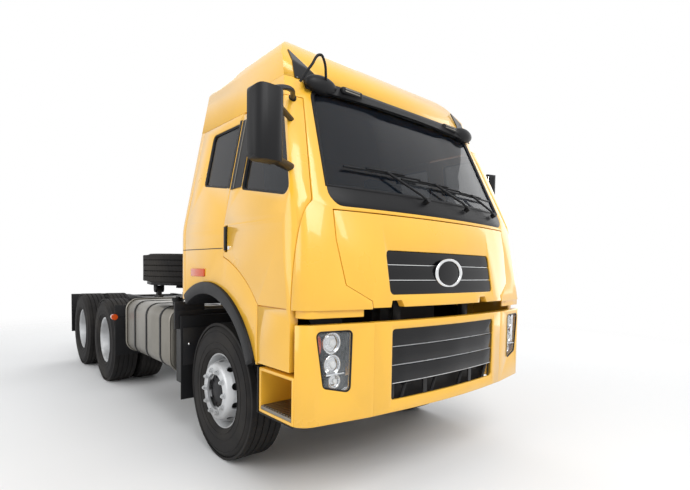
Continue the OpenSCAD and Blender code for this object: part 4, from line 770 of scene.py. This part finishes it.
# %% Mirrors and vanes
c = Vector((FA + 1.18, -1.415, 2.305))
glass = box("mirror_glass_right", c + Vector((-0.060, -0.085, -0.175)), c + Vector((-0.053, 0.085, 0.175)),
            0.004)
finish_piece(glass, "door_r", M["chrome"])
root = Vector((FA + 0.99, -1.105, 2.305))
fold = Matrix.Translation(root) @ Matrix.Rotation(math.radians(-70), 4, "Z") @ Matrix.Translation(-root)
finish_piece(copy_of(glass, "mirror_glass_left", MIRROR @ fold), "door_l", M["chrome"])

def wrapped_patch(name, corners, targets, offset, thick, cuts=14, bevel=0.0):
    """A three or four cornered patch laid on CAD surfaces and thickened outward."""
    clear()
    bpy.ops.mesh.primitive_circle_add(vertices=len(corners), radius=1, fill_type="NGON")
    o = bpy.context.object
    o.name = name
    for v, p in zip(o.data.vertices, corners):
        v.co = p
    bpy.ops.object.mode_set(mode="EDIT")
    bpy.ops.mesh.select_all(action="SELECT")
    if len(corners) == 3:
        bpy.ops.mesh.poke()
    bpy.ops.mesh.subdivide(number_cuts=cuts)
    bpy.ops.object.mode_set(mode="OBJECT")
    for t in targets:
        m = o.modifiers.new("lay", "SHRINKWRAP")
        m.target, m.offset = t, offset
        m.wrap_method, m.wrap_mode = "NEAREST_SURFACEPOINT", "ABOVE_SURFACE"
    m = o.modifiers.new("thick", "SOLIDIFY")
    m.thickness, m.offset = thick, 0
    apply_mods(o)
    if bevel:
        m = o.modifiers.new("soft", "BEVEL")
        m.width, m.segments, m.limit_method, m.angle_limit = bevel, 3, "ANGLE", math.radians(50)
        apply_mods(o)
    return o

vane_corners = [(FA + 0.83, -0.80, 2.84), (FA + 0.79, -0.98, 2.80), (FA + 0.60, -0.930, 3.04)]
vane = wrapped_patch("vane", vane_corners, [nodes["cab_roof"]], 0.006, 0.010)
pair("roof_vane", [vane], CAB, M["gloss"])
pods = [ball("pod", (FA + 0.850, -0.81, 2.772), 0.115, (0.46, 1.15, 0.56)),
        box("bracket", (FA + 0.860, -0.66, 2.752), (FA + 0.905, -0.47, 2.800), 0.014, 3)]
pair("visor_end", pods, CAB, M["black"])
slots = [box("slot", (FA + 0.902, -0.635, z), (FA + 0.907, -0.50, z + 0.009), 0.002) for z in (2.766, 2.782)]
pair("visor_slots", slots, CAB, M["alloy"])
hanger = pipe("look_down_tube", [(FA + 0.885, -1.005, 2.735), (FA + 0.93, -0.95, 2.84), (FA + 0.95, -0.89, 2.92),
                                 (FA + 0.945, -0.86, 2.90), (FA + 0.895, -0.80, 2.80)], 0.009)
finish_piece(hanger, "cab", M["black"])
ARM_FOOT = (FA + 0.845, -1.035, 2.632)
upper_arm = [pipe("arm", [(FA + 1.16, -1.40, 2.49), (FA + 1.12, -1.33, 2.540), (FA + 0.98, -1.13, 2.620), ARM_FOOT],
                  0.016),
             ball("joint", ARM_FOOT, 0.026)]
finish_piece(join("mirror_upper_arm", upper_arm), "door_r", M["black"])

def ribbon(name, points, low, high, thick):
    """A standing strip along a line of plan points, from one height to another."""
    clear()
    c = bpy.data.curves.new(name, "CURVE")
    c.dimensions, c.bevel_depth, c.extrude = "2D", thick / 2, (high - low) / 2
    s = c.splines.new("POLY")
    s.points.add(len(points) - 1)
    for p, q in zip(s.points, points):
        p.co = (*q, 0, 1)
    o = bpy.data.objects.new(name, c)
    bpy.context.collection.objects.link(o)
    pick(o)
    bpy.ops.object.convert(target="MESH")
    o = bpy.context.object
    o.data.transform(Matrix.Translation((0, 0, (low + high) / 2)))
    return o

plan = [(nose(1.26) - 0.030 - bow(y), -y) for y in (0.80, 0.88, 0.96, 1.04)]
end_x, end_y, FLANGE_R = plan[-1][0], 1.205, 0.105
for t in (math.radians(30), math.radians(50), math.radians(70), math.radians(90)):
    plan.append((end_x - FLANGE_R + FLANGE_R * math.cos(t), -(end_y - FLANGE_R) - FLANGE_R * math.sin(t)))
pair("corner_flange", [ribbon("flange", plan, 1.232, 1.272, 0.008)], CAB, M["paint"])
mouth = [box("screen", (3.296, -0.58, 0.615), (3.304, 0.58, 0.790))]
mouth += [tube("bracket", (3.350, y, 0.668), (3.345, y + 0.05, 0.776), 0.012, 6)
          for y in (-0.48, -0.16, 0.16, 0.48)]
finish_piece(join("mouth_screen", mouth), "chassis", M["black"])

# %% [markdown]
# ## Padded seats
# A cushion and a back are blown up as cloth from plain boxes, with their edges and sewn channels pinned,
# so that the padding swells between the seams. One seat is made and copied to the other side.

# %% Seats
PUFF_LIMIT, CLOTH_FRAMES = 0.03, 16
SEAT_X, SEAT_Y = FA + 0.13, 0.56

def padded_block(name, size, channels, puff=3.5):
    hx, hy, hz = (v / 2 for v in size)
    o = box(name, (-hx, -hy, -hz), (hx, hy, hz), 0.018, 2)
    m = o.modifiers.new("even", "REMESH")
    m.mode, m.voxel_size = "VOXEL", 0.011
    apply_mods(o)
    pins = o.vertex_groups.new(name="pins")
    for v in o.data.vertices:
        x, y, z = v.co
        seam = any(abs(x - c) < 0.007 for c in channels) and z > 0
        rim = abs(abs(x) - hx) < 0.014 and abs(abs(y) - hy) < 0.016
        if seam or z < -hz + 0.012 or rim:
            pins.add([v.index], 1.0, "REPLACE")
    start = [v.co.copy() for v in o.data.vertices]
    c = o.modifiers.new("cloth", "CLOTH")
    s = c.settings
    s.quality, s.mass = 5, 0.2
    s.tension_stiffness, s.compression_stiffness, s.bending_stiffness = 20, 20, 0.6
    s.use_pressure, s.uniform_pressure_force = True, puff
    s.vertex_group_mass = "pins"
    s.effector_weights.gravity = 0.0
    c.collision_settings.use_self_collision = False
    c.point_cache.frame_start, c.point_cache.frame_end = 1, CLOTH_FRAMES
    for f in range(1, CLOTH_FRAMES + 1):
        bpy.context.scene.frame_set(f)
    apply_mods(o)
    bpy.context.scene.frame_set(1)
    for v, a in zip(o.data.vertices, start):
        d = v.co - a
        if d.length > PUFF_LIMIT:
            v.co = a + d.normalized() * PUFF_LIMIT
    return o

def seat_pieces():
    out = []
    cushion = padded_block("cushion", (0.47, 0.48, 0.12), (-0.09, 0.05))
    cushion.data.transform(Matrix.Translation((SEAT_X + 0.245, SEAT_Y, 1.645)))
    out.append(("seat_cushion", cushion))
    back = padded_block("back", (0.68, 0.47, 0.10), (-0.12, 0.06, 0.22))
    turn = Matrix.Translation((SEAT_X, SEAT_Y, 2.07)) @ Matrix.Rotation(math.radians(-100), 4, "Y")
    back.data.transform(Matrix.Translation((0.005, 0, 0)) @ turn @ Matrix.Diagonal((-1, 1, 1, 1)))
    back.data.flip_normals()
    out.append(("seat_back", back))
    return out

made = seat_pieces()
for name, o in made:
    other = copy_of(o, name + "_right", MIRROR)
    o.name = name + "_left"
    for piece in (o, other):
        finish_piece(piece, "cab", M["trim"], angle=60)
bunk = padded_block("bunk_pad", (0.25, 1.96, 0.14), ())
bunk.data.transform(Matrix.Translation((1.685, 0, 1.65)))
finish_piece(bunk, "cab", M["trim"], angle=60)
bases = [box("base", (FA + 0.19, s * SEAT_Y - 0.19, 1.391), (FA + 0.55, s * SEAT_Y + 0.19, 1.584), 0.01)
         for s in (-1, 1)]
bases.append(box("bunk_box", (1.556, -0.995, 1.391), (1.812, 0.995, 1.580), 0.01))
seat_base = finish_piece(join("seat_bases", bases), "cab", M["grey"])
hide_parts("seats")
